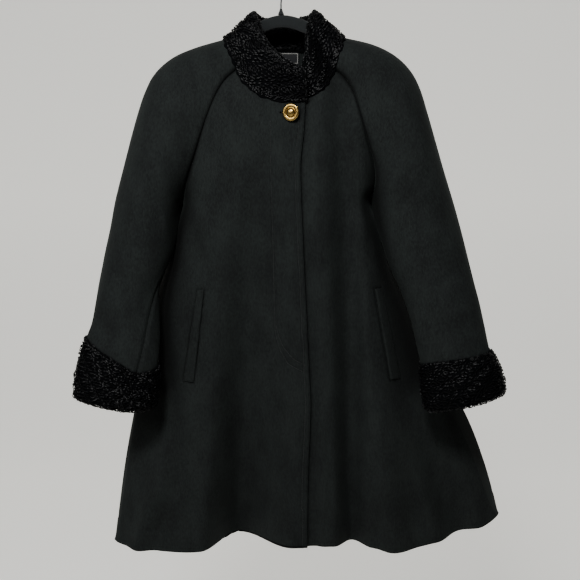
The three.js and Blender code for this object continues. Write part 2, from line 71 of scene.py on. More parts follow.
# folds that run down the fronts and the back: a positive depth sinks in, a negative one stands out
foldNames = "topX hemX leftW rightW depth startZ start growth"
frontFolds = table(
    foldNames,
    (-24, -80, 64, 102, 76, -240, 0.05, 1.5),
    (98, 127, 34, 36, 30, -190, 0.2, 1.1),
    (118, 196, 34, 52, -16, -240, 0.2, 1.3),
    (190, 325, 46, 52, 26, -620, 0, 1.2),
    (-150, -262, 26, 40, -14, -700, 0, 1.2),
)
backFolds = table(
    foldNames,
    (-60, -170, 70, 70, 44, -260, 0.05, 1.5),
    (20, 30, 80, 74, 52, -300, 0.03, 1.6),
    (90, 240, 74, 70, 46, -280, 0.05, 1.5),
)

# the raglan seam with the overarm line beside it, and below the armpit the underarm line, by the part's
# rows; turn is how far the underarm seam is turned to the front, in degrees, and drop how far the cloth
# hangs down beside it
raglanNames = "row seamX seamZ"
raglanRight = table(
    raglanNames,
    (0, -72, -174), (1.25, -93, -194), (2.5, -108, -220), (3.75, -121, -251), (5, -132, -282),
    (6.25, -143, -315), (7.5, -154, -345), (8.75, -163, -371), (10, -168, -392),
)
raglanLeft = table(
    raglanNames,
    (0, 88, -174), (1.25, 104, -188), (2.5, 117, -208), (3.75, 126, -233), (5, 135, -263),
    (6.25, 146, -299), (7.5, 155, -329), (8.75, 157, -360), (10, 152, -392),
)
overNames = "row x y z front back"
overRight = table(
    overNames,
    (0, -95, -5, -123, 44, 44), (1.25, -142, -5, -136, 52, 50), (2.5, -181, -5, -153, 59, 55),
    (3.75, -210, -5, -178, 62, 58), (5, -228, -6, -209, 64, 61), (6.25, -241, -8, -244, 66, 62),
    (7.5, -253, -10, -284, 68, 62), (8.75, -262, -12, -318, 69, 62), (10, -270, -14, -346, 68, 60),
    (11.5, -279, -18, -383, 65, 57), (13, -287, -26, -428, 59, 52), (14.5, -296, -35, -468, 53, 47),
    (16, -303, -43, -504, 48, 43), (17.5, -308, -50, -532, 43, 40), (19, -312, -58, -560, 39, 37),
    (20.5, -317, -68, -590, 36, 35), (22, -325, -78, -616, 35, 34), (23.5, -332, -86, -663, 34, 34),
    (25, -337, -92, -706, 34, 34),
)
overLeft = table(
    overNames,
    (0, 106, -5, -120, 44, 44), (1.25, 152, -5, -131, 52, 50), (2.5, 189, -5, -149, 59, 55),
    (3.75, 216, -5, -174, 62, 58), (5, 233, -6, -204, 64, 61), (6.25, 246, -8, -243, 66, 62),
    (7.5, 258, -10, -282, 68, 62), (8.75, 269, -12, -319, 69, 62), (10, 278, -14, -350, 68, 60),
    (11.5, 290, -18, -388, 65, 57), (13, 302, -28, -432, 59, 52), (14.5, 313, -40, -478, 53, 47),
    (16, 323, -51, -520, 48, 43), (17.5, 332, -61, -556, 43, 40), (19, 340, -70, -593, 39, 37),
    (20.5, 347, -80, -629, 36, 35), (22, 353, -88, -650, 35, 34), (23.5, 358, -96, -672, 34, 34),
    (25, 362, -102, -698, 34, 34),
)
underNames = "row x y z turn drop"
underRight = table(
    underNames,
    (10, -168, 0, -392, 0, 0), (11.5, -175, -14, -422, 0, 0), (13, -179, -25, -454, 0, 0),
    (14.5, -186, -35, -482, 0, 0), (16, -197, -43, -508, 5, 0), (17.5, -206, -50, -534, 20, 4),
    (19, -206, -58, -568, 40, 12), (20.5, -205, -68, -610, 54, 24), (22, -208, -78, -650, 62, 32),
    (23.5, -214, -86, -687, 65, 22), (25, -219, -92, -723, 65, 6),
)
underLeft = table(
    underNames,
    (10, 152, 0, -392, 0, 0), (11.5, 161, -14, -425, 0, 0), (13, 172, -28, -462, 0, 0),
    (14.5, 184, -40, -500, 0, 0), (16, 200, -51, -534, 0, 2), (17.5, 214, -61, -567, 0, 6),
    (19, 224, -70, -597, 0, 14), (20.5, 233, -80, -628, 0, 25), (22, 240, -88, -655, 0, 27),
    (23.5, 245, -96, -689, 0, 18), (25, 249, -102, -720, 0, 8),
)

# the edge of the front that laps over, and the hem's height across the coat
overEdge = table(
    "z x", (-1000, 46), (-840, 46), (-719, 50), (-659, 47), (-511, 39), (-404, 34), (-327, 32),
    (-276, 37), (-226, 40),
)
hemLine = table(
    "x z", (-320, -1006), (-170, -1009), (-90, -1001), (45, -998), (120, -999), (215, -1009),
    (270, -1002), (340, -990), (410, -965),
)

# the collar's upper edge, by the angle round the neck from the front centre
collarTop = table(
    "angle x y z",
    (-395, -16, -56, -186), (-345, 34, -62, -176), (-322, 41, -58, -150), (-300, 43, -47, -122),
    (-285, 47, -28, -94), (-268, 56, -8, -77), (-225, 44, 28, -81), (-180, 5, 41, -88),
    (-135, -33, 28, -83), (-92, -46, -8, -79), (-75, -38, -28, -95), (-60, -32, -46, -112),
    (-35, -22, -64, -133), (0, 3, -77, -160), (34, 34, -80, -177),
)

coat = {
    "hemZ": -1000, "neckZ": -227, "neckSag": 24, "neckBias": 0.75, "backRise": 42, "backSag": 4,
    "lapWidth": 55, "lapTop": 5.5, "lapHem": 12, "raglanRows": 10, "bodyRows": 28, "sleeveRows": 25,
    "seamDip": 1.7, "seamWidth": 2.4, "edgeStitch": 9, "hemDepth": 43, "lapKept": 5.2,
}


# from a to b by a share
def mix(a, b, share):
    return a + (b - a) * share


# cubic step from 0 to 1
def smooth(value):
    value = np.clip(value, 0, 1)
    return value * value * (3 - 2 * value)


# bell of height 1 at 0: exp(-(x / width)^2)
def bell(x, width):
    return np.exp(-(x / width) ** 2)


# cubic through a table's rows: the rise between two rows, bent by the slopes at both
def lookup(data, key, at, column):
    keys, values = data[key], data[column]
    order = np.arange(len(keys))
    before, after = np.maximum(order - 1, 0), np.minimum(order + 1, len(keys) - 1)
    slopes = (values[after] - values[before]) / (keys[after] - keys[before])
    at = np.clip(at, keys[0], keys[-1])
    k = np.clip(np.searchsorted(keys, at) - 1, 0, len(keys) - 2)
    width = keys[k + 1] - keys[k]
    t = (at - keys[k]) / width
    rise = values[k + 1] - values[k]
    bend = (slopes[k] * (1 - t) - slopes[k + 1] * t) * width + rise * (2 * t - 1)
    return values[k] + rise * t + t * (1 - t) * bend


# depth of the folds: cosine bumps across, growing on their way to the hem
def foldDepth(folds, x, z):
    total = 0
    for k in range(len(folds["topX"])):
        fold = {name: column[k] for name, column in folds.items()}
        down = np.clip((fold["startZ"] - z) / (fold["startZ"] - coat["hemZ"]), 0, 1)
        offset = x - mix(fold["topX"], fold["hemX"], down)
        across = np.minimum(1, np.abs(offset) / np.where(offset < 0, fold["leftW"], fold["rightW"]))
        grown = fold["start"] + (1 - fold["start"]) * down ** fold["growth"]
        started = smooth((fold["startZ"] + 40 - z) / 60)
        total = total + fold["depth"] * grown * started * np.cos(across * math.pi / 2) ** 2
    return total


# y of the body's front (side -1) or back (side 1): a rounded section less its folds
def bodyY(x, z, side):
    left = lookup(bodySections, "z", z, "left")
    right = lookup(bodySections, "z", z, "right")
    share = np.minimum(1, np.abs((2 * x - left - right) / (right - left)))
    power = lookup(bodySections, "z", z, "power")
    bowed = (1 - share ** power) ** (1 / power)
    level = mix(lookup(bodySections, "z", z, "leftY"), lookup(bodySections, "z", z, "rightY"),
                np.clip((x - left) / (right - left), 0, 1))
    depth = lookup(bodySections, "z", z, "front" if side < 0 else "back")
    folds = frontFolds if side < 0 else backFolds
    return level + side * (depth * bowed - foldDepth(folds, x, z) * smooth((1 - share) / 0.16))


# how far the front underneath is set back behind the one that laps over
def lapDepth(x, z):
    down = np.clip((z - coat["neckZ"]) / (coat["hemZ"] - coat["neckZ"]), 0, 1)
    edge = lookup(overEdge, "z", z, "x")
    return mix(coat["lapTop"], coat["lapHem"], down) * smooth((edge + 30 - x) / 30)


# vectors divided by their own lengths
def unit(vectors):
    return vectors / np.maximum(np.linalg.norm(vectors, axis=-1, keepdims=True), 1e-9)


# coordinates broadcast to one shape and put side by side
def stack(*parts):
    return np.stack(np.broadcast_arrays(*parts), axis=-1).astype(float)


# distance along a grid's axis from its first line, summed from step to step
def distanceAlong(points, axis):
    steps = np.linalg.norm(np.diff(points, axis=axis), axis=-1)
    start = np.zeros_like(np.take(steps, [0], axis=axis))
    return np.concatenate([start, np.cumsum(steps, axis=axis)], axis=axis)


# each inner row of a grid or line moved to the mean of itself, twice, and its neighbours, many times over
def evenOut(rows, times, directions=False):
    for _ in range(times):
        middle = (rows[:-2] + 2 * rows[1:-1] + rows[2:]) / 4
        rows[1:-1] = unit(middle) if directions else middle
    return rows


# outward directions of a grid: the cross product of its two tangents, turned to face one way
def gridNormals(points, facing):
    normals = unit(np.cross(np.gradient(points, axis=1), np.gradient(points, axis=0)))
    middle = normals[points.shape[0] // 2, points.shape[1] // 2]
    return normals if middle @ np.array(facing) > 0 else -normals


# a panel: its points, outward directions, and each point's distance from the panel's four edges
def makePanel(rows, points, facing):
    across, down = distanceAlong(points, 1), distanceAlong(points, 0)
    return {
        "rows": rows, "points": points, "normals": gridNormals(points, facing),
        "fromFirst": across, "fromLast": across[:, -1:] - across,
        "fromTop": down, "fromEnd": down[-1:] - down,
    }


# rows and columns of the fine grids, closer together beside edges and stitching
bodyRows = np.concatenate([np.linspace(0, 10, 61), np.linspace(10, 12, 15)[1:], np.linspace(12, 22, 110)[1:],
                           np.linspace(22, 27.5, 39)[1:],
                           [27.62, 27.72, 27.8, 27.87, 27.92, 27.96, 27.985, 28]])
sleeveRows = np.concatenate([np.linspace(0, 10, 61), np.linspace(10, 25, 91)[1:]])
frontAcross = np.concatenate([[0, 0.003, 0.008, 0.015], np.linspace(0.024, 0.1, 8),
                              np.linspace(0.1, 0.46, 54)[1:], np.linspace(0.46, 0.68, 17)[1:],
                              np.linspace(0.68, 0.985, 54)[1:], [0.9885, 0.992, 0.995, 0.9975, 0.999, 1]])
backAcross = np.linspace(0, 1, 101)
sleeveAcross = np.linspace(0, 1, 45)


# the raglan seam on the front (side -1) or the back (side 1)
def raglanSeam(raglan, rows, side):
    x = lookup(raglan, "row", rows, "seamX")
    share = np.clip(rows / coat["raglanRows"], 0, 1)
    z = lookup(raglan, "row", rows, "seamZ") + (coat["backRise"] * (1 - share) ** 1.6 if side > 0 else 0)
    return stack(x, np.where(share == 1, 0, bodyY(x, z, side)), z)


# the side of the body: down the raglan seam, then down the side seam to the hem
def bodySide(rows, raglan, column, side):
    end = lookup(hemLine, "x", -306 if column == "left" else 405, "z")
    share = (rows - coat["raglanRows"]) / (coat["bodyRows"] - coat["raglanRows"])
    z = mix(raglan["seamZ"][-1], end, share)
    low = stack(lookup(bodySections, "z", z, column), lookup(bodySections, "z", z, column + "Y"), z)
    above = (rows <= coat["raglanRows"])[:, None]
    return np.where(above, raglanSeam(raglan, rows, side), low)


# a front: rows from the body's side to the edge, level at first and then along the hem, sagging at the
# neck, laid on the body's front
def frontPanel(raglan, column, under):
    rows, across = bodyRows[:, None], frontAcross[None]
    start = bodySide(bodyRows, raglan, column, -1)[:, None]
    share = rows / coat["bodyRows"]
    edgeZ = mix(coat["neckZ"], coat["hemZ"], share)
    edgeX = lookup(overEdge, "z", edgeZ, "x") - (coat["lapWidth"] if under else 0)
    x = mix(start[..., 0], edgeX, across ** 1.15)
    sag = coat["neckSag"] * np.sin(math.pi * across ** coat["neckBias"]) * (1 - share) ** 4
    z = mix(mix(start[..., 2], edgeZ, across) - sag, lookup(hemLine, "x", x, "z"), share ** 6)
    points = stack(x, bodyY(x, z, -1) + (lapDepth(x, z) if under else 0), z)
    points[:, 0] = start[:, 0]
    return makePanel(bodyRows, points, (0, -1, 0))


# the back: rows from side to side, closer together at both, laid on the body's back
def backPanel():
    rows, turn = bodyRows[:, None], math.pi * 0.43
    across = 0.5 + 0.5 * np.sin((2 * backAcross[None] - 1) * turn) / math.sin(turn)
    left = bodySide(bodyRows, raglanRight, "left", 1)[:, None]
    right = bodySide(bodyRows, raglanLeft, "right", 1)[:, None]
    x = mix(left[..., 0], right[..., 0], across)
    share = rows / coat["bodyRows"]
    sag = coat["backSag"] * np.sin(math.pi * across) * (1 - share) ** 4
    z = mix(mix(left[..., 2], right[..., 2], across) - sag, lookup(hemLine, "x", x, "z"), share ** 6)
    points = stack(x, bodyY(x, z, 1), z)
    points[:, 0], points[:, -1] = left[:, 0], right[:, 0]
    return makePanel(bodyRows, points, (0, 1, 0))


# half a sleeve: each row is part of an ellipse from the raglan or underarm line to the overarm line,
# and beside the armpit the rows are evened out
def sleevePanel(raglan, under, over, side):
    rows = sleeveRows[:, None]
    above = rows <= coat["raglanRows"]
    low = stack(*(lookup(under, "row", rows, axis) for axis in "xyz"))
    start = np.where(above[..., None], raglanSeam(raglan, rows, side), low)
    end = stack(*(lookup(over, "row", rows, axis) for axis in "xyz"))
    reach = np.maximum(0, side * (start[..., 1] - end[..., 1]))
    depth = np.maximum(lookup(over, "row", rows, "front" if side < 0 else "back"), reach)
    first = -np.arccos(np.minimum(1, reach / depth))
    turn = np.where(above, 0, np.radians(lookup(under, "row", rows, "turn")))
    angle = mix(first - side * turn, math.pi / 2, sleeveAcross[None])
    sunk = np.sin(first)
    middle = (start - end * sunk[..., None]) / (1 - sunk[..., None])
    level = mix(start[..., 1] - side * reach, end[..., 1], np.clip((np.sin(angle) - sunk) / (1 - sunk), 0, 1))
    bow = np.where(np.cos(angle) < 0, lookup(over, "row", rows, "front"), depth)
    points = stack(mix(middle[..., 0], end[..., 0], np.sin(angle)), level + side * bow * np.cos(angle),
                   mix(middle[..., 2], end[..., 2], np.sin(angle)))
    drop = np.where(above, 0, lookup(under, "row", rows, "drop"))
    points[..., 2] -= drop * (1 - sleeveAcross[None]) ** (1.4 if side < 0 else 2.3)
    even = evenOut(points.copy(), 160)
    weight = bell(rows - coat["raglanRows"], 2.6) * smooth(sleeveAcross[None] / 0.22)
    points += weight[..., None] * (even - points)
    return makePanel(sleeveRows, points, (0, side, 0))


panels = {
    "front_right": frontPanel(raglanRight, "left", False),
    "front_left": frontPanel(raglanLeft, "right", True),
    "back": backPanel(),
    "sleeve_front_right": sleevePanel(raglanRight, underRight, overRight, -1),
    "sleeve_back_right": sleevePanel(raglanRight, underRight, overRight, 1),
    "sleeve_front_left": sleevePanel(raglanLeft, underLeft, overLeft, -1),
    "sleeve_back_left": sleevePanel(raglanLeft, underLeft, overLeft, 1),
}
upper = int(np.sum(bodyRows <= coat["raglanRows"]))  # rows down to the armpit


# two panels' edges that meet share one direction, which fades into each panel's own
def shareEdge(nameA, columnA, nameB, columnB, rowsFrom, rowsTo):
    ends = [(panels[nameA], columnA), (panels[nameB], columnB)]
    rows = slice(rowsFrom, rowsTo)
    shared = unit(sum(panel["normals"][rows, column] for panel, column in ends))[:, None]
    for panel, column in ends:
        distance = panel["fromFirst"] if column == 0 else panel["fromLast"]
        near = bell(distance[rows], 7)[..., None]
        panel["normals"][rows] = unit(mix(panel["normals"][rows], shared, near))


for hand, backColumn in (("right", 0), ("left", -1)):
    front, sleeveFront, sleeveBack = (part + hand for part in ("front_", "sleeve_front_", "sleeve_back_"))
    shareEdge(front, 0, sleeveFront, 0, 0, upper)
    shareEdge("back", backColumn, sleeveBack, 0, 0, upper)
    shareEdge(front, 0, "back", backColumn, upper, None)
    shareEdge(sleeveFront, 0, sleeveBack, 0, upper, None)
    shareEdge(sleeveFront, -1, sleeveBack, -1, 0, None)

# soft creases by their two ends seen from the front: a positive depth stands out
creaseNames = "x0 z0 x1 z1 width depth"
frontCreases = table(
    creaseNames,
    (-150, -395, -95, -470, 12, 2.2), (-160, -420, -120, -540, 14, -2.0), (140, -400, 110, -500, 12, 2.0),
    (150, -430, 120, -560, 14, -1.8), (-60, -300, -66, -420, 14, 1.2), (60, -330, 66, -520, 12, 1.2),
)
backCreases = table(
    creaseNames,
    (-150, -400, -90, -480, 13, 2.2), (140, -405, 96, -500, 13, 2.0), (-20, -190, -30, -300, 16, 1.4),
    (60, -185, 70, -290, 16, -1.2),
)
sleeveFrontCreases = table(
    creaseNames,
    (-205, -330, -178, -385, 9, 3.0), (-196, -400, -190, -452, 7, 3.0), (-232, -350, -180, -412, 9, -2.6),
    (-262, -430, -205, -462, 10, 2.2), (-292, -500, -235, -520, 9, -2.2),
    (-300, -560, -240, -560, 9, 2.0), (-170, -215, -205, -280, 12, 1.6), (200, -330, 165, -388, 10, 3.0),
    (235, -355, 178, -420, 9, -2.6), (270, -430, 205, -470, 10, 2.2), (305, -500, 240, -530, 9, -2.0),
    (325, -560, 262, -580, 9, 2.0), (165, -190, 205, -270, 12, -1.8), (185, -180, 222, -262, 10, 1.6),
)
sleeveBackCreases = table(
    creaseNames,
    (-200, -340, -172, -395, 11, 2.8), (-240, -380, -190, -430, 10, -2.4),
    (-285, -470, -220, -500, 10, 2.2), (-300, -560, -245, -585, 10, -2.0),
    (205, -340, 165, -395, 11, 2.8), (250, -385, 190, -440, 10, -2.4), (300, -470, 225, -510, 10, 2.0),
    (330, -560, 262, -590, 10, -2.0),
)


# share along a line in the front view and distance from it, for each point
def alongLine(x, z, x0, z0, x1, z1):
    length = (x1 - x0) ** 2 + (z1 - z0) ** 2
    share = ((x - x0) * (x1 - x0) + (z - z0) * (z1 - z0)) / length
    held = np.clip(share, 0, 1)
    return share, np.hypot(x - mix(x0, x1, held), z - mix(z0, z1, held))


# creases: a bell across each line, highest at its middle
def creaseRelief(points, creases):
    x, z = points[..., 0], points[..., 2]
    total = np.zeros_like(x)
    for k in range(len(creases["x0"])):
        x0, z0, x1, z1, width, depth = (creases[name][k] for name in creaseNames.split())
        share, distance = alongLine(x, z, x0, z0, x1, z1)
        total += depth * bell(distance, width) * np.sin(math.pi * np.clip(share, 0.08, 0.92))
    return total


# broad unevenness of hanging wool: four crossing waves
def waves(points, amount):
    x, y, z = np.moveaxis(points, -1, 0)
    return amount * (0.35 * np.sin(x / 23 + z / 61 + 1.1) + 0.3 * np.sin(x / 37 - z / 83 + y / 50)
                     + 0.2 * np.sin(z / 41 + x / 90 + 2.3) + 0.15 * np.sin(x / 13 + z / 29))


# distance from a line of points in the front view
def lineDistance(points, line):
    x, z = points[..., 0], points[..., 2]
    return np.min([alongLine(x, z, *a, *b)[1] for a, b in zip(line[:-1], line[1:])], axis=0)


# the two rows of stitching that hold the button stand: down the front, then hooked to the edge
flyOuter = [(-17, -255), (-17, -310), (-12.6, -475), (-11, -585), (-9, -612), (-1, -640), (12, -662),
            (40, -675)]
flyInner = [(-8, -598), (-4, -616), (4, -634), (20, -652), (40, -662)]

# the pockets' welts by their corners on the fronts: upper inner, upper outer, lower inner, lower outer
welt = {
    "right": ("front_right", (-128, -534), (-141, -535), (-149, -698), (-169, -697)),
    "left": ("front_left", (157, -534), (170, -533), (187, -694), (206, -695)),
    "height": 1.3, "round": 1.1, "inset": 0.9, "seam": 1.9, "seamWidth": 1.6, "low": 0.1, "lift": 0.4,
}


# closed line round a welt
def weltOutline(hand):
    _, topIn, topOut, lowIn, lowOut = welt[hand]
    return [topIn, topOut, lowOut, lowIn, topIn]


# how far a panel's outer surface stands out: creases and waves that fade at seams, a valley along
# every seam, grooves under the stitching and a rolled free edge
def reliefOf(name, panel):
    points = panel["points"]
    isFront, isBody = name.startswith("front"), not name.startswith("sleeve")
    if isBody:
        creases = frontCreases if isFront else backCreases
    else:
        creases = sleeveFrontCreases if "front" in name else sleeveBackCreases
    near = panel["fromFirst"] if isFront else np.minimum(panel["fromFirst"], panel["fromLast"])
    relief = (creaseRelief(points, creases) + waves(points, 1.1)) * smooth(near / 14)
    armpit = bell(panel["rows"][:, None] - coat["raglanRows"] - 1.3, 1.4)
    relief -= coat["seamDip"] * bell(near, coat["seamWidth"]) * (1 - armpit)
    relief += 0.7 * bell(near - 7, 4) + (2.5 if isBody else 1.2) * armpit * bell(near, 9)
    if isBody:
        end = panel["fromEnd"]
        relief -= 0.45 * bell(end - coat["hemDepth"], 3.5)
        relief += 0.5 * smooth((coat["hemDepth"] - end) / 8)
    if isFront:
        edge = panel["fromLast"]
        relief -= 0.7 * bell(edge - coat["edgeStitch"], 1.7)
        relief += 0.5 * smooth((coat["edgeStitch"] - edge) / 3) * smooth(edge / 3)
        outline = weltOutline(name.split("_")[1])
        relief -= welt["seam"] * bell(lineDistance(points, outline), welt["seamWidth"])
    if name == "front_left":
        relief += np.maximum(0, lapDepth(points[..., 0], points[..., 2]) - coat["lapKept"])
    if name == "front_right":
        for line in (flyOuter, flyInner):
            relief -= 0.8 * bell(lineDistance(points, line), 1.8)
    if name == "sleeve_front_right":
        relief -= 0.6 * bell(panel["fromLast"] - 11, 1.6)
    return relief


# thinning towards the free edges, so that the wall's rim is round
def rimOf(name, panel):
    rim = np.zeros(panel["points"].shape[:2])
    if not name.startswith("sleeve"):
        rim += bell(panel["fromEnd"], 2.2)
    if name.startswith("front"):
        rim = np.maximum(rim, bell(panel["fromLast"], 1.6))
    return 0.9 * rim


# an object in the scene for a mesh, light or camera
def addObject(name, data):
    made = bpy.data.objects.new(name, data)
    bpy.context.scene.collection.objects.link(made)
    return made


# an object from points in millimetres and faces, smooth with sharp corners
def makeObject(name, points, faces, sharp=50, uv=None):
    mesh = bpy.data.meshes.new(name)
    mesh.from_pydata((np.asarray(points) * metre).tolist(), [], [list(map(int, f)) for f in faces])
    mesh.shade_smooth()
    mesh.set_sharp_from_angle(angle=math.radians(sharp))
    if uv is not None:
        layer = mesh.uv_layers.new(name="UVMap")
        loops = np.empty(len(mesh.loops), dtype=np.int64)
        mesh.loops.foreach_get("vertex_index", loops)
        layer.data.foreach_set("uv", np.asarray(uv, float)[loops].ravel())
    turnOutward(mesh)
    return addObject(name, mesh)


# faces outward: the signed volume has to be positive
def turnOutward(mesh):
    mesh.calc_loop_triangles()
    corners = np.empty(3 * len(mesh.loop_triangles), dtype=np.int64)
    mesh.loop_triangles.foreach_get("vertices", corners)
    places = np.empty(3 * len(mesh.vertices))
    mesh.vertices.foreach_get("co", places)
    a, b, c = np.moveaxis(places.reshape(-1, 3)[corners].reshape(-1, 3, 3), 1, 0)
    if np.einsum("ij,ij->i", a, np.cross(b, c)).sum() < 0:
        mesh.flip_normals()


# a grid's points numbered row by row
def numbersOf(grid):
    return np.arange(grid.shape[0] * grid.shape[1]).reshape(grid.shape[:2])


# quads of a grid of numbered points; closed axes join their last line to the first
def gridFaces(numbers, closedRows=False, closedColumns=False):
    if closedRows:
        numbers = np.concatenate([numbers, numbers[:1]], axis=0)
    if closedColumns:
        numbers = np.concatenate([numbers, numbers[:, :1]], axis=1)
    return np.stack([numbers[:-1, :-1], numbers[:-1, 1:], numbers[1:, 1:], numbers[1:, :-1]],
                    axis=-1).reshape(-1, 4)


# a closed piece from rings of points, with a flat cap at each end unless the last ring joins the first
def ringObject(name, rings, sharp, joined=False):
    numbers = numbersOf(rings)
    faces = gridFaces(numbers, joined, True).tolist()
    if not joined:
        faces += [numbers[0, ::-1].tolist(), numbers[-1].tolist()]
    return makeObject(name, rings.reshape(-1, 3), faces, sharp=sharp)


# a closed wall from an outer and an inner grid, with a rim of quads round it
def wallObject(name, outer, inner):
    top = numbersOf(outer)
    low = top + top.size
    rims = [gridFaces(np.stack(pair)) for pair in (
        (top[0], low[0]), (low[-1], top[-1]), (low[:, 0], top[:, 0]), (top[:, -1], low[:, -1]))]
    faces = np.concatenate([gridFaces(top)[:, ::-1], gridFaces(low), *rims])
    across, down = distanceAlong(outer, 1), distanceAlong(outer, 0)
    uv = np.stack([across, down], axis=-1).reshape(-1, 2) * metre
    return makeObject(name, np.concatenate([outer.reshape(-1, 3), inner.reshape(-1, 3)]), faces,
                      uv=np.concatenate([uv, uv]))


# colours as they look, turned into linear light: ((c + 0.055) / 1.055)^2.4
def colour(code):
    parts = [int(code[k:k + 2], 16) / 255 for k in (1, 3, 5)]
    return [c / 12.92 if c <= 0.04045 else ((c + 0.055) / 1.055) ** 2.4 for c in parts] + [1]


# sets or links a node's inputs, by their names or by the letter i and a number
def setInputs(tree, node, inputs):
    for key, value in inputs.items():
        socket = node.inputs[int(key[1:])] if key[1:].isdigit() else node.inputs[key]
        if isinstance(value, bpy.types.NodeSocket):
            tree.links.new(value, socket)
        else:
            socket.default_value = value


# a node with its settings and inputs, and for a ramp its two places and colours
def addNode(tree, kind, settings=(), ramp=(), **inputs):
    node = tree.nodes.new(kind)
    for key, value in dict(settings).items():
        setattr(node, key, value)
    for k in range(len(ramp) // 2):
        element = node.color_ramp.elements[k]
        element.position, element.color = ramp[2 * k], colour(ramp[2 * k + 1])
    setInputs(tree, node, inputs)
    return node


# a material with its nodes and the coordinates that its patterns read
def newMaterial(name, space="Object"):
    material = bpy.data.materials.new(name)
    material.use_nodes = True
    return material, material.node_tree, addNode(material.node_tree, "ShaderNodeTexCoord").outputs[space]


# noise at a real size in millimetres, stretched by three factors
def noiseAt(tree, where, size, stretch=(1, 1, 1), detail=3.0, roughness=0.55):
    mapped = addNode(tree, "ShaderNodeMapping", i0=where, i3=tuple(1 / s for s in stretch))
    return addNode(tree, "ShaderNodeTexNoise", Vector=mapped.outputs[0], Scale=1000 / size,
                   Detail=detail, Roughness=roughness).outputs["Fac"]


# a material's shader: its inputs, and a relief of a height times a depth in millimetres
def setShader(material, inputs, height=None, bump=0, depth=0):
    tree = material.node_tree
    shader = tree.nodes["Principled BSDF"]
    setInputs(tree, shader, inputs)
    if height is not None:
        relief = addNode(tree, "ShaderNodeBump", Height=height, Strength=bump, Distance=depth * metre)
        tree.links.new(relief.outputs[0], shader.inputs["Normal"])
    return material


# a material of one grain, which gives both its two close colours and its relief
def grainMaterial(name, grain, inputs):
    material, tree, where = newMaterial(name)
    noise = noiseAt(tree, where, grain["size"], grain["stretch"], grain["detail"], grain["roughness"])
    tone = addNode(tree, "ShaderNodeValToRGB", ramp=grain["tone"], i0=noise)
    return setShader(material, {"Base Color": tone.outputs[0], **inputs}, noise, grain["bump"],
                     grain["depth"])


# brushed wool coating: two close blacks with a grey-green cast in cloudy patches and fine fibres, and a short
# nap that runs down the cloth and catches the light softly at grazing angles; its colour also has painted
# shade in hollows
wool = {
    "tone": (0.38, "#101212", 0.62, "#1c201f"), "patch": 34, "patchShare": 0.35, "fibre": 2.4,
    "fibreStretch": (1, 1, 2.4), "bump": 0.5, "depth": 0.8,
    # painted shade: the colour darkens in hollows of this width in millimetres, fully at occlusion closed,
    # none from open
    "paintedShadeHollow": 90, "closed": 0.42, "open": 0.84,
    "shader": {"Roughness": 0.9, "Sheen Weight": 0.06, "Sheen Roughness": 0.45,
               "Sheen Tint": colour("#86948f"), "Specular IOR Level": 0.12},
}


# its tone: patches and fibres by their shares, through a ramp, times painted shade that darkens closed-in
# places
def woolMaterial():
    material, tree, where = newMaterial("blackWool")
    patches = noiseAt(tree, where, wool["patch"], (1, 1, 2), 2)
    fibres = noiseAt(tree, where, wool["fibre"], wool["fibreStretch"], 4, 0.65)
    part = addNode(tree, "ShaderNodeMath", {"operation": "MULTIPLY"}, i0=patches, i1=wool["patchShare"])
    both = addNode(tree, "ShaderNodeMath", {"operation": "MULTIPLY_ADD"}, i0=fibres,
                   i1=1 - wool["patchShare"], i2=part.outputs[0])
    nap = addNode(tree, "ShaderNodeValToRGB", ramp=wool["tone"], i0=both.outputs[0])
    # painted shade: an ambient-occlusion node darkens the base colour where the cloth round it closes in
    paintedShadeHollow = addNode(tree, "ShaderNodeAmbientOcclusion", {"samples": 8}, i1=wool["paintedShadeHollow"] * metre)
    paintedShadeFactor = addNode(tree, "ShaderNodeMapRange", i0=paintedShadeHollow.outputs[1], i1=wool["closed"], i2=wool["open"])
    paintedShadeTone = addNode(tree, "ShaderNodeVectorMath", {"operation": "SCALE"}, i0=nap.outputs[0],
                     i3=paintedShadeFactor.outputs[0])
    return setShader(material, {"Base Color": paintedShadeTone.outputs[0], **wool["shader"]}, fibres, wool["bump"],
                     wool["depth"])


# cast and polished yellow metal, slightly worn: fine scratches vary its gloss
brass = {"tone": (0.3, "#8a6d35", 0.7, "#c9a964"), "tarnish": 4, "scratch": 0.6, "bright": 0.18, "dull": 0.34}


# tarnish gives the metal its tone, and scratches its gloss and relief
def brassMaterial():
    material, tree, where = newMaterial("yellowMetal")
    tarnish = noiseAt(tree, where, brass["tarnish"], (1, 1, 1), 4)
    tone = addNode(tree, "ShaderNodeValToRGB", ramp=brass["tone"], i0=tarnish)
    scratches = noiseAt(tree, where, brass["scratch"], (6, 1, 1), 3)
    gloss = addNode(tree, "ShaderNodeMapRange", i0=scratches, i3=brass["bright"], i4=brass["dull"])
    return setShader(material, {"Base Color": tone.outputs[0], "Roughness": gloss.outputs[0], "Metallic": 1},
                     scratches, 0.15, 0.1)


# woven satin label: a dark ground with fine ribs, 0.45 mm apart at this scale, and a pale woven border
# line inside its edge
label = {
    "x": 12, "z": -148, "width": 36, "height": 20, "thick": 0.8, "gap": 0.7, "ribScale": 700,
    "ground": (0.2, "#131416", 0.8, "#1b1c1e"), "line": "#a09f9a", "inset": 2.0, "lineWidth": 0.7,
}


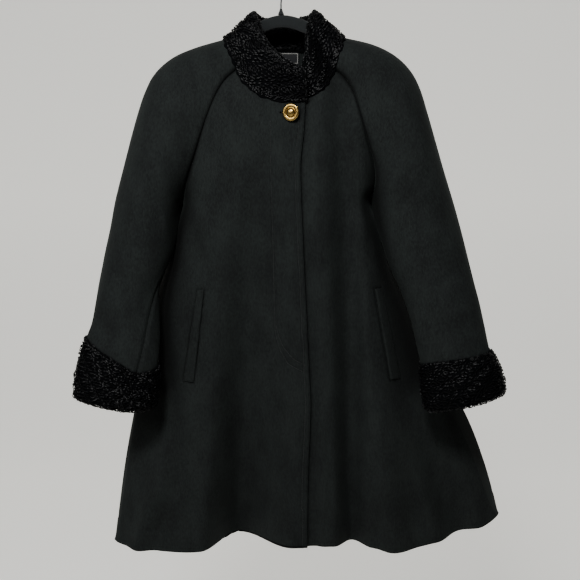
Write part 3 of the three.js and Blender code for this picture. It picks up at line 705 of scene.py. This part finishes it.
# the line is where the distance to the nearest edge, from UVs in metres, is about the inset
def labelMaterial():
    material, tree, uv = newMaterial("darkSatin", "UV")
    split = addNode(tree, "ShaderNodeSeparateXYZ", i0=uv)
    distances = []
    for output, size in zip(split.outputs, (label["width"] * metre, label["height"] * metre)):
        centred = addNode(tree, "ShaderNodeMath", {"operation": "SUBTRACT"}, i0=output, i1=size / 2)
        away = addNode(tree, "ShaderNodeMath", {"operation": "ABSOLUTE"}, i0=centred.outputs[0])
        edge = addNode(tree, "ShaderNodeMath", {"operation": "SUBTRACT"}, i0=size / 2, i1=away.outputs[0])
        distances.append(edge.outputs[0])
    nearest = addNode(tree, "ShaderNodeMath", {"operation": "MINIMUM"}, i0=distances[0], i1=distances[1])
    offset = addNode(tree, "ShaderNodeMath", {"operation": "SUBTRACT"}, i0=nearest.outputs[0],
                     i1=label["inset"] * metre)
    away = addNode(tree, "ShaderNodeMath", {"operation": "ABSOLUTE"}, i0=offset.outputs[0])
    onLine = addNode(tree, "ShaderNodeMath", {"operation": "LESS_THAN"}, i0=away.outputs[0],
                     i1=label["lineWidth"] * metre / 2).outputs[0]
    ribs = addNode(tree, "ShaderNodeTexWave", {"bands_direction": "X"}, Vector=uv,
                   Scale=label["ribScale"]).outputs["Fac"]
    ground = addNode(tree, "ShaderNodeValToRGB", ramp=label["ground"], i0=ribs)
    mixed = addNode(tree, "ShaderNodeMix", {"data_type": "RGBA"}, i0=onLine, i6=ground.outputs[0],
                    i7=colour(label["line"]))
    return setShader(material, {"Base Color": mixed.outputs[2], "Roughness": 0.45}, ribs, 0.3, 0.1)


woolCloth = woolMaterial()
yellowMetal = brassMaterial()
darkSatin = labelMaterial()

# tightly curled black fur: near-black hair with a low gloss along each curl, on a dull ground
strand = {"size": 0.7, "stretch": (1, 1, 1), "detail": 3, "roughness": 0.6,
          "tone": (0.3, "#020203", 0.7, "#08090a"), "bump": 0.5, "depth": 0.3}
curledFur = grainMaterial("blackCurledFur", strand, {"Roughness": 0.42, "Specular IOR Level": 0.11})
furGround = grainMaterial("blackFurGround", strand, {"Roughness": 0.82, "Specular IOR Level": 0.02})

# flocked plastic: short dark fibres that give a matt velvet face
flock = {"size": 0.7, "stretch": (1, 1, 1), "detail": 3, "roughness": 0.55,
         "tone": (0.35, "#0c0e0e", 0.65, "#1b1f20"), "bump": 0.4, "depth": 0.3}
flocked = grainMaterial("blackFlock", flock, {
    "Roughness": 0.9, "Sheen Weight": 0.3, "Specular IOR Level": 0.2})

# drawn steel wire with a grey plated finish and fine lengthwise marks
steel = {"size": 0.5, "stretch": (1, 1, 5), "detail": 3, "roughness": 0.55,
         "tone": (0.3, "#4a4b4d", 0.7, "#7c7e80"), "bump": 0.1, "depth": 0.05}
greySteel = grainMaterial("greySteel", steel, {"Metallic": 1, "Roughness": 0.32})

# polyester thread: twisted, a little glossier than the wool, and a dull near-black kind painted as the
# buttonhole slit's shade
twist = {"size": 0.35, "stretch": (1, 1, 1), "detail": 2, "roughness": 0.55,
         "tone": (0.3, "#080909", 0.7, "#161918"), "bump": 0.4, "depth": 0.1}
blackThread = grainMaterial("blackThread", twist, {"Roughness": 0.55, "Specular IOR Level": 0.5})
threadWithPaintedSlitShade = grainMaterial("blackThreadWithPaintedSlitShade", {**twist, "tone": (0.3, "#010101", 0.7, "#020202")},
                            {"Roughness": 0.55, "Specular IOR Level": 0.02})


# a finished piece: its material, body and the nodes it stands for; its slot name is not used
def finishPiece(made, material, slotName, *nodes):
    made.data.materials.append(material)
    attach(made, "root")
    if nodes:
        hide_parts(*nodes)
    return made


# cloth panels, and the fronts' outer surfaces for what lies on them
frontTrees = {}
for name, panel in panels.items():
    relief, rim = reliefOf(name, panel), rimOf(name, panel)
    outer = panel["points"] + panel["normals"] * (relief - rim)[..., None]
    inner = panel["points"] + panel["normals"] * (0.5 * relief - wall + rim)[..., None]
    cloth = finishPiece(wallObject("cloth_" + name, outer, inner), woolCloth, "wool", name)
    if name.startswith("front"):
        frontTrees[name] = BVHTree.FromPolygons(outer.reshape(-1, 3).tolist(),
                                                gridFaces(numbersOf(outer)).tolist())
print("cloth panels done")


# points and directions on a front, straight behind points of the front view
def onFront(name, xs, zs):
    places, facings = [], []
    for x, z in zip(xs, zs):
        hit, normal, _, _ = frontTrees[name].ray_cast(Vector((x, -400, z)), Vector((0, 1, 0)))
        places.append(hit[:] if hit else (x, float(bodyY(x, z, -1)), z))
        facing = np.array(normal) if hit else np.array((0.0, -1.0, 0.0))
        facings.append(facing if facing[1] < 0 else -facing)
    return np.array(places), unit(np.array(facings))


# evenly spaced points along a line of points
def alongPath(path, spacing):
    path = np.asarray(path, float)
    lengths = distanceAlong(path, 0)
    at = np.arange(spacing / 2, lengths[-1], spacing)
    return np.stack([np.interp(at, lengths, path[:, k]) for k in range(path.shape[1])], axis=-1)


# rings of points along many short paths, all in one mesh: count x steps centres with a radius at each
def tubes(name, centres, radii, ups, sides, flat=1.0):
    count, steps = centres.shape[:2]
    tangents = unit(np.gradient(centres, axis=1))
    across = unit(np.cross(tangents, ups))
    raised = unit(np.cross(across, tangents))
    angles = (np.arange(sides) + 0.5) * 2 * math.pi / sides
    rings = (centres[:, :, None] + radii[:, :, None, None] * (
        across[:, :, None] * np.cos(angles)[:, None] + raised[:, :, None] * flat * np.sin(angles)[:, None]))
    numbers = np.arange(count * steps * sides).reshape(count, steps, sides)
    closed = np.concatenate([numbers, numbers[..., :1]], axis=2)
    faces = np.stack([closed[:, :-1, :-1], closed[:, 1:, :-1], closed[:, 1:, 1:], closed[:, :-1, 1:]],
                     axis=-1).reshape(-1, 4)
    caps = [numbers[:, 0], numbers[:, -1, ::-1]]
    faces = faces.tolist() + caps[0].tolist() + caps[1].tolist()
    return makeObject(name, rings.reshape(-1, 3), faces, sharp=75)


stitch = {"spacing": 3.3, "length": 2.5, "radius": 0.36}


# a row of stitches on a front: short rounded threads end to end along a line of the front view
def stitchRows(name, front, lines, thread):
    centres, ups = [], []
    for line in lines:
        middle = alongPath(line, stitch["spacing"])
        direction = unit(np.gradient(middle, axis=0))
        half = direction * stitch["length"] / 2
        shares = np.array([-1, -0.6, 0.6, 1])
        xz = middle[:, None] + half[:, None] * shares[None, :, None]
        place, facing = onFront(front, xz[..., 0].ravel(), xz[..., 1].ravel())
        place, facing = place.reshape(-1, 4, 3), facing.reshape(-1, 4, 3)
        lift = stitch["radius"] * np.array([-0.9, 0.75, 0.75, -0.9])[None, :, None]
        centres.append(place + facing * lift)
        ups.append(facing)
    centres, ups = np.concatenate(centres), np.concatenate(ups)
    radii = np.broadcast_to(stitch["radius"] * np.array([0.55, 1, 1, 0.55]), centres.shape[:2])
    return finishPiece(tubes(name, centres, radii, ups, 6), thread, "wool")


# edge stitching down the over front, worked out from the panel's own points
over = panels["front_right"]
edgeColumn = np.argmin(np.abs(over["fromLast"] - coat["edgeStitch"]), axis=1)
edgePath = over["points"][np.arange(len(bodyRows)), edgeColumn][6:-2][:, [0, 2]]
stitchRows("edge_stitches", "front_right", [edgePath, flyOuter, flyInner], blackThread)


# a welt: a folded strip on the front, inside its seam line and rounded at its edges
for hand in ("right", "left"):
    front, topIn, topOut, lowIn, lowOut = welt[hand]
    corners = [np.array(c, float) for c in (topIn, topOut, lowIn, lowOut)]
    s = np.concatenate([[0, 0.03, 0.07], np.linspace(0.12, 0.88, 16), [0.93, 0.97, 1]])[None, :, None]
    t = np.concatenate([[0, 0.003, 0.008], np.linspace(0.015, 0.985, 60), [0.992, 0.997, 1]])
    t = t[:, None, None]
    corners = [corner + welt["inset"] * unit(np.mean(corners, axis=0) - corner) for corner in corners]
    xz = mix(mix(corners[0], corners[1], s), mix(corners[2], corners[3], s), t)
    place, facing = onFront(front, xz[..., 0].ravel(), xz[..., 1].ravel())
    place, facing = place.reshape(*xz.shape[:2], 3), facing.reshape(*xz.shape[:2], 3)
    width = np.linalg.norm(mix(corners[1] - corners[0], corners[3] - corners[2], t), axis=-1)
    length = np.linalg.norm(corners[2] - corners[0])
    side = np.minimum(s[..., 0], 1 - s[..., 0]) * width
    end = np.minimum(t[..., 0], 1 - t[..., 0]) * length
    inset = np.minimum(side, end)
    height = welt["height"] * (1 - bell(inset, welt["round"]))
    outer = place + facing * (welt["lift"] + height)[..., None]
    inner = place + facing * welt["low"]
    strip = finishPiece(wallObject("strip_welt_" + hand, outer, inner), woolCloth, "wool",
                        "welt_" + hand)
print("stitching and welts done")


# a closed smooth curve through points, each span a Catmull-Rom cubic
def closedCurve(points, count):
    n = points.shape[-2]
    at = np.linspace(0, n, count, endpoint=False)
    k = at.astype(int)
    t = (at - k)[:, None]
    p0, p1, p2, p3 = (points[..., (k + d) % n, :] for d in (-1, 0, 1, 2))
    return 0.5 * (2 * p1 + (p2 - p0) * t + (2 * p0 - 5 * p1 + 4 * p2 - p3) * t ** 2
                  + (3 * p1 - p0 - 3 * p2 + p3) * t ** 3)


# small lumps of the fur's skin: two products of crossing waves and a plain wave
def lumps(points, amount):
    x, y, z = np.moveaxis(points, -1, 0)
    fine = np.sin(x / 2.9 + z / 4.1) * np.sin(y / 3.1 - z / 3.3)
    middle = 0.6 * np.sin(z / 2.3 + x / 5.1 + y / 4)
    broad = 1.8 * np.sin(x / 4.7 - z / 6.3 + y / 9) * np.sin(x / 11 + y / 7 + z / 5.3)
    return amount * (fine + middle + broad)


# the fur's locks: rows and spacing, size, thickness and lift, the skin's share of the thickness, waves of
# the rows round a piece, and how far the locks turn, scatter, sweep and stretch
fur = {
    "rows": 3.5, "spacing": 5.6, "size": 2.9, "thread": 1.0, "lift": 2.4, "skin": 3.8, "lump": 0.7,
    "waves": 9, "rowShift": 0.9, "turn": 0.6, "scatter": 0.18, "sweep": (0.9, 2.6), "long": 1.6, "wide": 0.6,
}


# a value amid four points of a grid: i and j number the first, u and v are the shares between them
def amid(grid, i, j, u, v):
    return mix(mix(grid[i, j], grid[i + 1, j], u), mix(grid[i, j + 1], grid[i + 1, j + 1], u), v)


# curls over a grid of skin points: rows of C-shaped locks that run round the piece in waves, each lock
# an arc that rises from the skin and tapers to its tip
def curls(name, points, normals, seed, keep=None):
    random = np.random.default_rng(seed)
    stations, columns = points.shape[:2]
    rowCount = max(2, int(np.percentile(distanceAlong(points, 1)[:, -1], 85) / fur["rows"]))
    bases, facings, alongs, turns = [], [], [], []
    for row in range(rowCount):
        column = (row + 0.5) / rowCount * (columns - 1)
        k = int(column)
        run = distanceAlong(mix(points[:, k], points[:, min(k + 1, columns - 1)], column - k), 0)
        count = max(3, int(run[-1] / fur["spacing"]))
        at = (np.arange(count) + 0.5 * (row % 2) + random.uniform(-0.45, 0.45, count)) / count
        station = np.clip(np.interp(at * run[-1], run, np.arange(len(run))), 0, stations - 1.001)
        phase = station / stations * 2 * math.pi * fur["waves"] + row * fur["rowShift"]
        sway = 0.5 * np.sin(phase) + random.uniform(-0.35, 0.35, count)
        shifted = np.clip(column + sway * (columns - 1) / rowCount * 0.6, 0, columns - 1.001)
        i, j = station.astype(int), shifted.astype(int)
        u, v = (station - i)[:, None], (shifted - j)[:, None]
        use = np.ones(count, bool) if keep is None else keep[i, j]
        bases.append(amid(points, i, j, u, v)[use])
        facings.append(unit(amid(normals, i, j, u, v))[use])
        alongs.append(unit(points[i + 1, j] - points[i, j])[use])
        turns.append(fur["turn"] * np.cos(phase)[use])
    base, facing, along = (np.concatenate(parts) for parts in (bases, facings, alongs))
    turned = np.concatenate(turns) + random.normal(0, fur["scatter"], len(base))
    along = unit(along - facing * np.sum(along * facing, axis=1, keepdims=True))
    heading = along * np.cos(turned)[:, None] + np.cross(facing, along) * np.sin(turned)[:, None]
    beside = np.cross(facing, heading)
    share, each = np.linspace(0, 1, 6)[None], (len(base), 1)
    size = fur["size"] * random.uniform(0.65, 1.35, each)
    sweep = random.uniform(*fur["sweep"], each) * random.choice([-1, 1], each)
    angle = sweep * (share - 0.5)
    radius = size * (1.15 - 0.4 * share)
    x = radius * np.sin(angle) * np.sign(sweep) * fur["long"]
    y = radius * (np.cos(angle) - 0.3) * fur["wide"]
    rise = fur["lift"] * random.uniform(0.6, 1.3, each) * np.sin(math.pi * (0.12 + 0.76 * share))
    centres = (base[:, None] + heading[:, None] * x[..., None] + beside[:, None] * y[..., None]
               + facing[:, None] * rise[..., None])
    taper = 0.45 + 0.6 * np.sin(math.pi * (0.1 + 0.75 * share))
    thick = fur["thread"] * random.uniform(0.8, 1.2, each) * taper
    return tubes(name, centres, thick, np.broadcast_to(facing[:, None], centres.shape), 4, 0.85)


# a cuff: the sleeve's end stations, with a profile up its inside, round its lower edge and up its outside
cuff = {"thick": 16, "gap": 0.4, "overhang": 5, "lip": 1.5, "firstRow": {"right": 22, "left": 21}}
for hand, seed in (("right", 11), ("left", 12)):
    front, behind = panels["sleeve_front_" + hand], panels["sleeve_back_" + hand]
    first = int(np.argmin(np.abs(sleeveRows - cuff["firstRow"][hand])))
    points, normals = (np.concatenate([front[key][first:], behind[key][first:, -2:0:-1]], axis=1)
                       for key in ("points", "normals"))
    plump = 0.36 + 0.44 * np.sin(math.pi * 0.62 * np.linspace(0, 1, len(points)))
    height = (cuff["gap"] + cuff["thick"] * plump - fur["skin"])[:, None, None]
    step = unit(points[-1] - points[-7])
    outside = points + normals * height
    outside += normals * lumps(outside, fur["lump"])[..., None]
    seat = points + normals * cuff["gap"]
    inside = seat[::-1][::3]
    turnShare = np.linspace(0, 1, 9)[1:-1, None, None]
    bulge = (cuff["overhang"] - 1) * np.sin(math.pi * turnShare) ** 0.8
    lower = mix(outside[-1][None], seat[-1][None], turnShare) + step[None] * bulge
    upperLip = (mix(inside[-1][None], outside[0][None], turnShare)
                - step[None] * cuff["lip"] * np.sin(math.pi * turnShare))
    profile = np.concatenate([outside, lower, inside, upperLip]).transpose(1, 0, 2)
    skin = finishPiece(ringObject("skin_cuff_" + hand, profile, 80, joined=True), furGround, "fur",
                       "cuff_" + hand)
    shown = np.concatenate([upperLip[2:], outside, lower[:5]]).transpose(1, 0, 2)
    shown = np.concatenate([shown, shown[:1]])
    facing = unit(np.cross(np.gradient(shown, axis=0), np.gradient(shown, axis=1)))
    if np.sum(facing[:, 12] * np.concatenate([normals[5], normals[5][:1]])) < 0:
        facing = -facing
    locks = finishPiece(curls("curls_cuff_" + hand, shown, facing, seed), curledFur, "fur")
print("cuffs done")

# the collar: stations along the necks of the seven pieces, each with a closed ring from its base to its
# leaning top; under the lap the end is tucked back, and a skirt covers the neck seam from outside
collar = {"out": 6.0, "gap": 0.7, "skirt": 1.8, "tuck": 12, "spacing": 3.0, "around": 44}
collarProfile = table(
    "height out",
    (0.14, 0.9), (0.45, 1), (0.8, 0.8), (0.98, 0.4), (0.98, -0.5), (0.8, -0.9), (0.45, -1), (0.14, -0.75),
)
neckPieces = [("front_right", -1), ("sleeve_front_right", 1), ("sleeve_back_right", -1), ("back", 1),
              ("sleeve_back_left", 1), ("sleeve_front_left", -1), ("front_left", 1)]


# rings round the neck: base + lean x height + outward x reach, each joined by a closed curve
def collarRings():
    rows = []
    for k, (name, way) in enumerate(neckPieces):
        panel = panels[name]
        rise = unit(panel["points"][0] - panel["points"][3])
        row = np.concatenate([panel["points"][0], panel["normals"][0], rise,
                              np.full((len(rise), 1), float(k))], axis=1)[::way]
        rows.append(row if k == 0 else row[1:])
    line = np.concatenate(rows)
    run = distanceAlong(line[:, :3], 0)
    at = np.linspace(0, run[-1], int(run[-1] / collar["spacing"]))
    line = np.stack([np.interp(at, run, line[:, k]) for k in range(10)], axis=1)
    point, normal, rise = line[:, :3], unit(line[:, 3:6]), unit(line[:, 6:9])
    evenOut(normal, 10, directions=True)
    evenOut(rise, 10, directions=True)
    angle = np.degrees(np.unwrap(np.arctan2(point[:, 0] - 5, -(point[:, 1] + 18))))
    base = point - normal * wall / 2 + rise * collar["gap"]
    edge = lookup(overEdge, "z", point[:, 2], "x")
    tucked = smooth((edge + 7 - point[:, 0]) / 7) * collar["tuck"]
    base[:, 1] += np.where(line[:, 9] > len(neckPieces) - 1.5, tucked, 0)
    top = stack(*(lookup(collarTop, "angle", angle, axis) for axis in "xyz"))
    evenOut(base, 8)
    evenOut(top, 8)
    lean = top - base
    out = unit(np.cross(np.gradient(base, axis=0), lean))
    out *= np.sign(np.sum(out * normal, axis=1, keepdims=True))
    evenOut(out, 6, directions=True)
    reach = collar["out"] - fur["skin"]
    ring = (base[:, None] + lean[:, None] * collarProfile["height"][:, None]
            + out[:, None] * collarProfile["out"][:, None] * reach)
    low = [base + normal * 1.1 * reach - rise * collar["skirt"], base - normal * 0.5 * reach]
    ring = np.concatenate([low[0][:, None], ring, low[1][:, None]], axis=1)
    return closedCurve(ring, collar["around"])


# the two ends close in three shrinking rings
rings = collarRings()
centre = rings.mean(axis=1, keepdims=True)
ends = []
for index, inner in ((0, 1), (-1, -2)):
    step = unit(rings[index] - rings[inner])
    ends.append([mix(rings[index], centre[index], shrink) + step * move
                 for shrink, move in ((0.1, 1.2), (0.35, 2.2), (0.75, 2.6))])
rings = np.concatenate([np.array(ends[0][::-1]), rings, np.array(ends[1])])
radial = unit(rings - rings.mean(axis=1, keepdims=True))
facing = unit(np.cross(np.gradient(rings, axis=0), np.roll(rings, -1, axis=1) - np.roll(rings, 1, axis=1)))
facing *= np.sign(np.sum(facing * radial))
rings += facing * lumps(rings, fur["lump"])[..., None]
skin = finishPiece(ringObject("skin_collar", rings, 80), furGround, "fur", "collar")
wrapped, wrappedFacing = (np.concatenate([grid, grid[:, :1]], axis=1) for grid in (rings, facing))
rowShare = np.arange(wrapped.shape[1]) / collar["around"] * 10
locks = []
for name, low, high in (("curls_collar", 0.3, 4.8), ("curls_collar_inside", 4.8, 9.2)):
    keep = np.broadcast_to((rowShare > low) & (rowShare <= high), wrapped.shape[:2])
    locks.append(finishPiece(curls(name, wrapped, wrappedFacing, 13, keep), curledFur, "fur"))
print("collar done")


# a lathe: rings of a profile of radius and height about an axis
def lathe(name, profile, origin, axis, segments, sharp=40):
    profile = np.array(profile, float)
    axis = unit(np.array(axis, float))
    sideways = unit(np.cross(axis, (1.0, 0.0, 0.3)))
    other = np.cross(axis, sideways)
    turn = np.linspace(0, 2 * math.pi, segments, endpoint=False)
    circle = sideways * np.cos(turn)[:, None] + other * np.sin(turn)[:, None]
    points = np.array(origin) + profile[:, None, :1] * circle + profile[:, None, 1:] * axis
    return ringObject(name, points, sharp)


# button: a flat rolled rim, a groove and a dome, on a shank
button = {"x": 17.6, "z": -245, "turn": -0.35, "dome": 7.2, "domeFrom": 5.1, "domeHeight": 4.0}
profile = [(0.01, 0), (3, 0), (3, 3), (12.2, 3), (13.2, 3.2), (13.75, 3.7), (13.85, 4.3), (13.6, 5.0),
           (13.0, 5.5), (12.2, 5.75), (10.4, 5.6), (9.2, 5.5), (8.7, 5.3), (8.35, 4.6), (8.0, 4.2),
           (7.6, 4.3), (7.35, 4.8)]
profile += [(max(0.01, button["dome"] * math.cos(a)), button["domeFrom"] + button["domeHeight"] * math.sin(a))
            for a in np.linspace(0, 1, 12) * math.pi / 2]
axis = (math.sin(button["turn"]), -math.cos(button["turn"]), 0)
origin = (button["x"], float(bodyY(button["x"], button["z"], -1)) - 1, button["z"])
finishPiece(lathe("coat_button", profile, origin, axis, 72), yellowMetal, "button_metal", "button")

# buttonhole: a bar of close stitches in near-black thread, whose colour is painted shade standing in for the
# slit
stitchRows("buttonhole_stitches", "front_right", [
    [(-2, z), (13, z)] for z in (-243.9, -244.5, -245.1, -245.7)], threadWithPaintedSlitShade)

# neck label on the inside of the back
s, t = np.linspace(0, 1, 25)[None], np.linspace(0, 1, 15)[:, None]
x = label["x"] + label["width"] * (s - 0.5) + 0 * t
z = label["z"] - label["height"] * (t - 0.5) + 0 * s
y = bodyY(x, z, 1) - wall
soft = 0.25 * np.sin(math.pi * s) * np.sin(math.pi * t)
outer = stack(x, y - label["gap"] - label["thick"] - soft, z)
inner = stack(x, y - label["gap"] - soft, z)
tag = finishPiece(wallObject("satin_label", outer, inner), darkSatin, "label", "neck_label")

# hanger: a rounded arm swept from tip to tip
hangerLine = table(
    "x z height thick",
    (-214, -195, 12, 6), (-199, -176, 14, 6), (-181, -160, 16, 7), (-142, -141, 18, 7),
    (-96, -130, 20, 8), (-60, -108, 21, 8), (-28, -89, 21, 8), (3, -82, 20, 8), (36, -89, 21, 8),
    (68, -106, 21, 8), (106, -127, 20, 8), (152, -136.5, 18, 7), (189, -156, 16, 7), (205, -171, 14, 6),
    (220, -191, 12, 6),
)
hanger = {"ends": 5, "power": 0.55}
first, last = hangerLine["x"][[0, -1]]
x = np.linspace(first, last, 140)[:, None]
top, high, deep = (lookup(hangerLine, "x", x, key) for key in ("z", "height", "thick"))
ends = np.sqrt(np.clip(np.minimum(x - first, last - x) / hanger["ends"], 0.02, 1))
turn = np.linspace(0, 2 * math.pi, 32, endpoint=False)[None]
a = np.sign(np.cos(turn)) * np.abs(np.cos(turn)) ** hanger["power"]
b = np.sign(np.sin(turn)) * np.abs(np.sin(turn)) ** hanger["power"]
rings = stack(x + 0 * turn, deep / 2 * a * ends, top - high / 2 + high / 2 * b * ends)
finishPiece(ringObject("flocked_hanger", rings, 70), flocked, "hanger_velvet", "hanger")

# ferrule and hook: a small cone, and a wire that goes round most of a circle
profile = [(0.01, 0), (4.9, 0), (5.2, 0.4), (4.9, 1.6), (4.3, 3.2), (3.4, 5.2), (2.7, 7), (2.3, 8.6),
           (2.1, 9.6), (1.7, 10), (0.01, 10)]
finishPiece(lathe("hook_ferrule", profile, (0, 0, -81.7), (0, 0, 1), 40), flocked, "hook_steel", "ferrule")


# centripetal Catmull-Rom curve through points: knots spaced by the root of each distance
def throughPoints(points, perSpan):
    points = np.array(points, float)
    points = np.concatenate([[2 * points[0] - points[1]], points, [2 * points[-1] - points[-2]]])
    made = []
    for k in range(1, len(points) - 2):
        p = points[k - 1:k + 3]
        knots = np.concatenate([[0], np.cumsum(np.linalg.norm(np.diff(p, axis=0), axis=1) ** 0.5)])
        t = np.linspace(knots[1], knots[2], perSpan, endpoint=False)[:, None]
        a = [((knots[i + 1] - t) * p[i] + (t - knots[i]) * p[i + 1]) / (knots[i + 1] - knots[i])
             for i in range(3)]
        b = [((knots[i + 2] - t) * a[i] + (t - knots[i]) * a[i + 1]) / (knots[i + 2] - knots[i])
             for i in range(2)]
        made.append(((knots[2] - t) * b[0] + (t - knots[1]) * b[1]) / (knots[2] - knots[1]))
    return np.concatenate([*made, points[-2:-1]])


hook = {"radius": 21, "wire": 1.5}
ringRadius = hook["radius"] + hook["wire"]
stem = [(0, 0, -71.3), (0, 0, -62), (2, 0, -53), (8.5, 0, -45)]
arc = [(ringRadius * math.cos(math.radians(a)), 0, ringRadius * math.sin(math.radians(a)) - hook["radius"])
       for a in (-50, -20, 10, 40, 65, 90, 115, 140, 165, 190)]
wire = throughPoints(stem + arc, 10)
tip = wire[-1] - wire[-2]
wire = np.concatenate([wire, [wire[-1] + unit(tip) * 0.6, wire[-1] + unit(tip) * 1.0]])[None]
radii = np.full(wire.shape[:2], hook["wire"])
radii[0, -2:] = (1.2, 0.6)
ups = np.broadcast_to(np.array((0.0, 1.0, 0.0)), wire.shape)
finishPiece(tubes("wire_hook", wire, radii, ups, 20), greySteel, "hook_steel", "hook")
print("hardware done")

# floor with a wall that curves up behind it, light and camera
studio = {
    "floorZ": -1.75, "wallY": 3.4, "halfWidth": 9, "front": -5, "wallTop": 7, "curve": 1.2,
    "paper": (0.2, "#d8d7d2", 0.8, "#dcdbd6"), "grain": 3, "glow": 0.88, "nearGlow": 0.13, "nearY": -0.4,
    "farY": 1.2, "world": "#c9c8c3", "worldStrength": 0.07,
    "key": (-0.35, -1.75, 0.95), "keySize": 0.4, "keyPower": 57, "fill": (-1.6, -1.8, 0.6), "fillSize": 0.9,
    "fillPower": 22, "aim": (0.0, 0.0, -0.5),
    "camera": (0.015, -1.5, -0.315), "pitch": 81.24, "lens": 53.81,
}
turn = np.linspace(0, math.pi / 2, 17)
bendY = studio["wallY"] - studio["curve"] * (1 - np.sin(turn))
bendZ = studio["floorZ"] + studio["curve"] * (1 - np.cos(turn))
lineY = np.concatenate([[studio["front"]], bendY, [studio["wallY"]]])
lineZ = np.concatenate([[studio["floorZ"]], bendZ, [studio["wallTop"]]])
sweep = stack(np.array([[-1.0], [1.0]]) * studio["halfWidth"], lineY[None], lineZ[None])
floorMesh = bpy.data.meshes.new("floor")
floorMesh.from_pydata(sweep.reshape(-1, 3).tolist(), [], gridFaces(numbersOf(sweep)).tolist())
floorMesh.shade_smooth()
floor = addObject("floor", floorMesh)

# matt background paper that glows, more so behind the coat than before it
paper, tree, where = newMaterial("palePaper")
grain = noiseAt(tree, where, studio["grain"], (1, 1, 1), 2)
tone = addNode(tree, "ShaderNodeValToRGB", ramp=studio["paper"], i0=grain)
away = addNode(tree, "ShaderNodeSeparateXYZ", i0=where)
glow = addNode(tree, "ShaderNodeMapRange", {"interpolation_type": "SMOOTHSTEP"}, i0=away.outputs[1],
               i1=studio["nearY"], i2=studio["farY"], i3=studio["nearGlow"], i4=studio["glow"])
setShader(paper, {"Base Color": tone.outputs[0], "Roughness": 0.95, "Specular IOR Level": 0.1,
                  "Emission Color": colour(studio["paper"][3]), "Emission Strength": glow.outputs[0]})
floorMesh.materials.append(paper)

world = bpy.data.worlds.new("studio")
world.use_nodes = True
world.node_tree.nodes["Background"].inputs[0].default_value = colour(studio["world"])
world.node_tree.nodes["Background"].inputs[1].default_value = studio["worldStrength"]
bpy.context.scene.world = world


# a soft square light that looks at a point
def areaLight(name, place, aim, size, power):
    data = bpy.data.lights.new(name, "AREA")
    data.energy, data.size = power, size
    made = addObject(name, data)
    made.location = place
    made.rotation_euler = (Vector(aim) - Vector(place)).to_track_quat("-Z", "Y").to_euler()


areaLight("keyLight", studio["key"], studio["aim"], studio["keySize"], studio["keyPower"])
areaLight("fillLight", studio["fill"], studio["aim"], studio["fillSize"], studio["fillPower"])

cameraData = bpy.data.cameras.new("camera")
cameraData.lens, cameraData.sensor_width = studio["lens"], 36
camera = addObject("camera", cameraData)
camera.location = studio["camera"]
camera.rotation_euler = (math.radians(studio["pitch"]), 0, 0)
bpy.context.scene.camera = camera

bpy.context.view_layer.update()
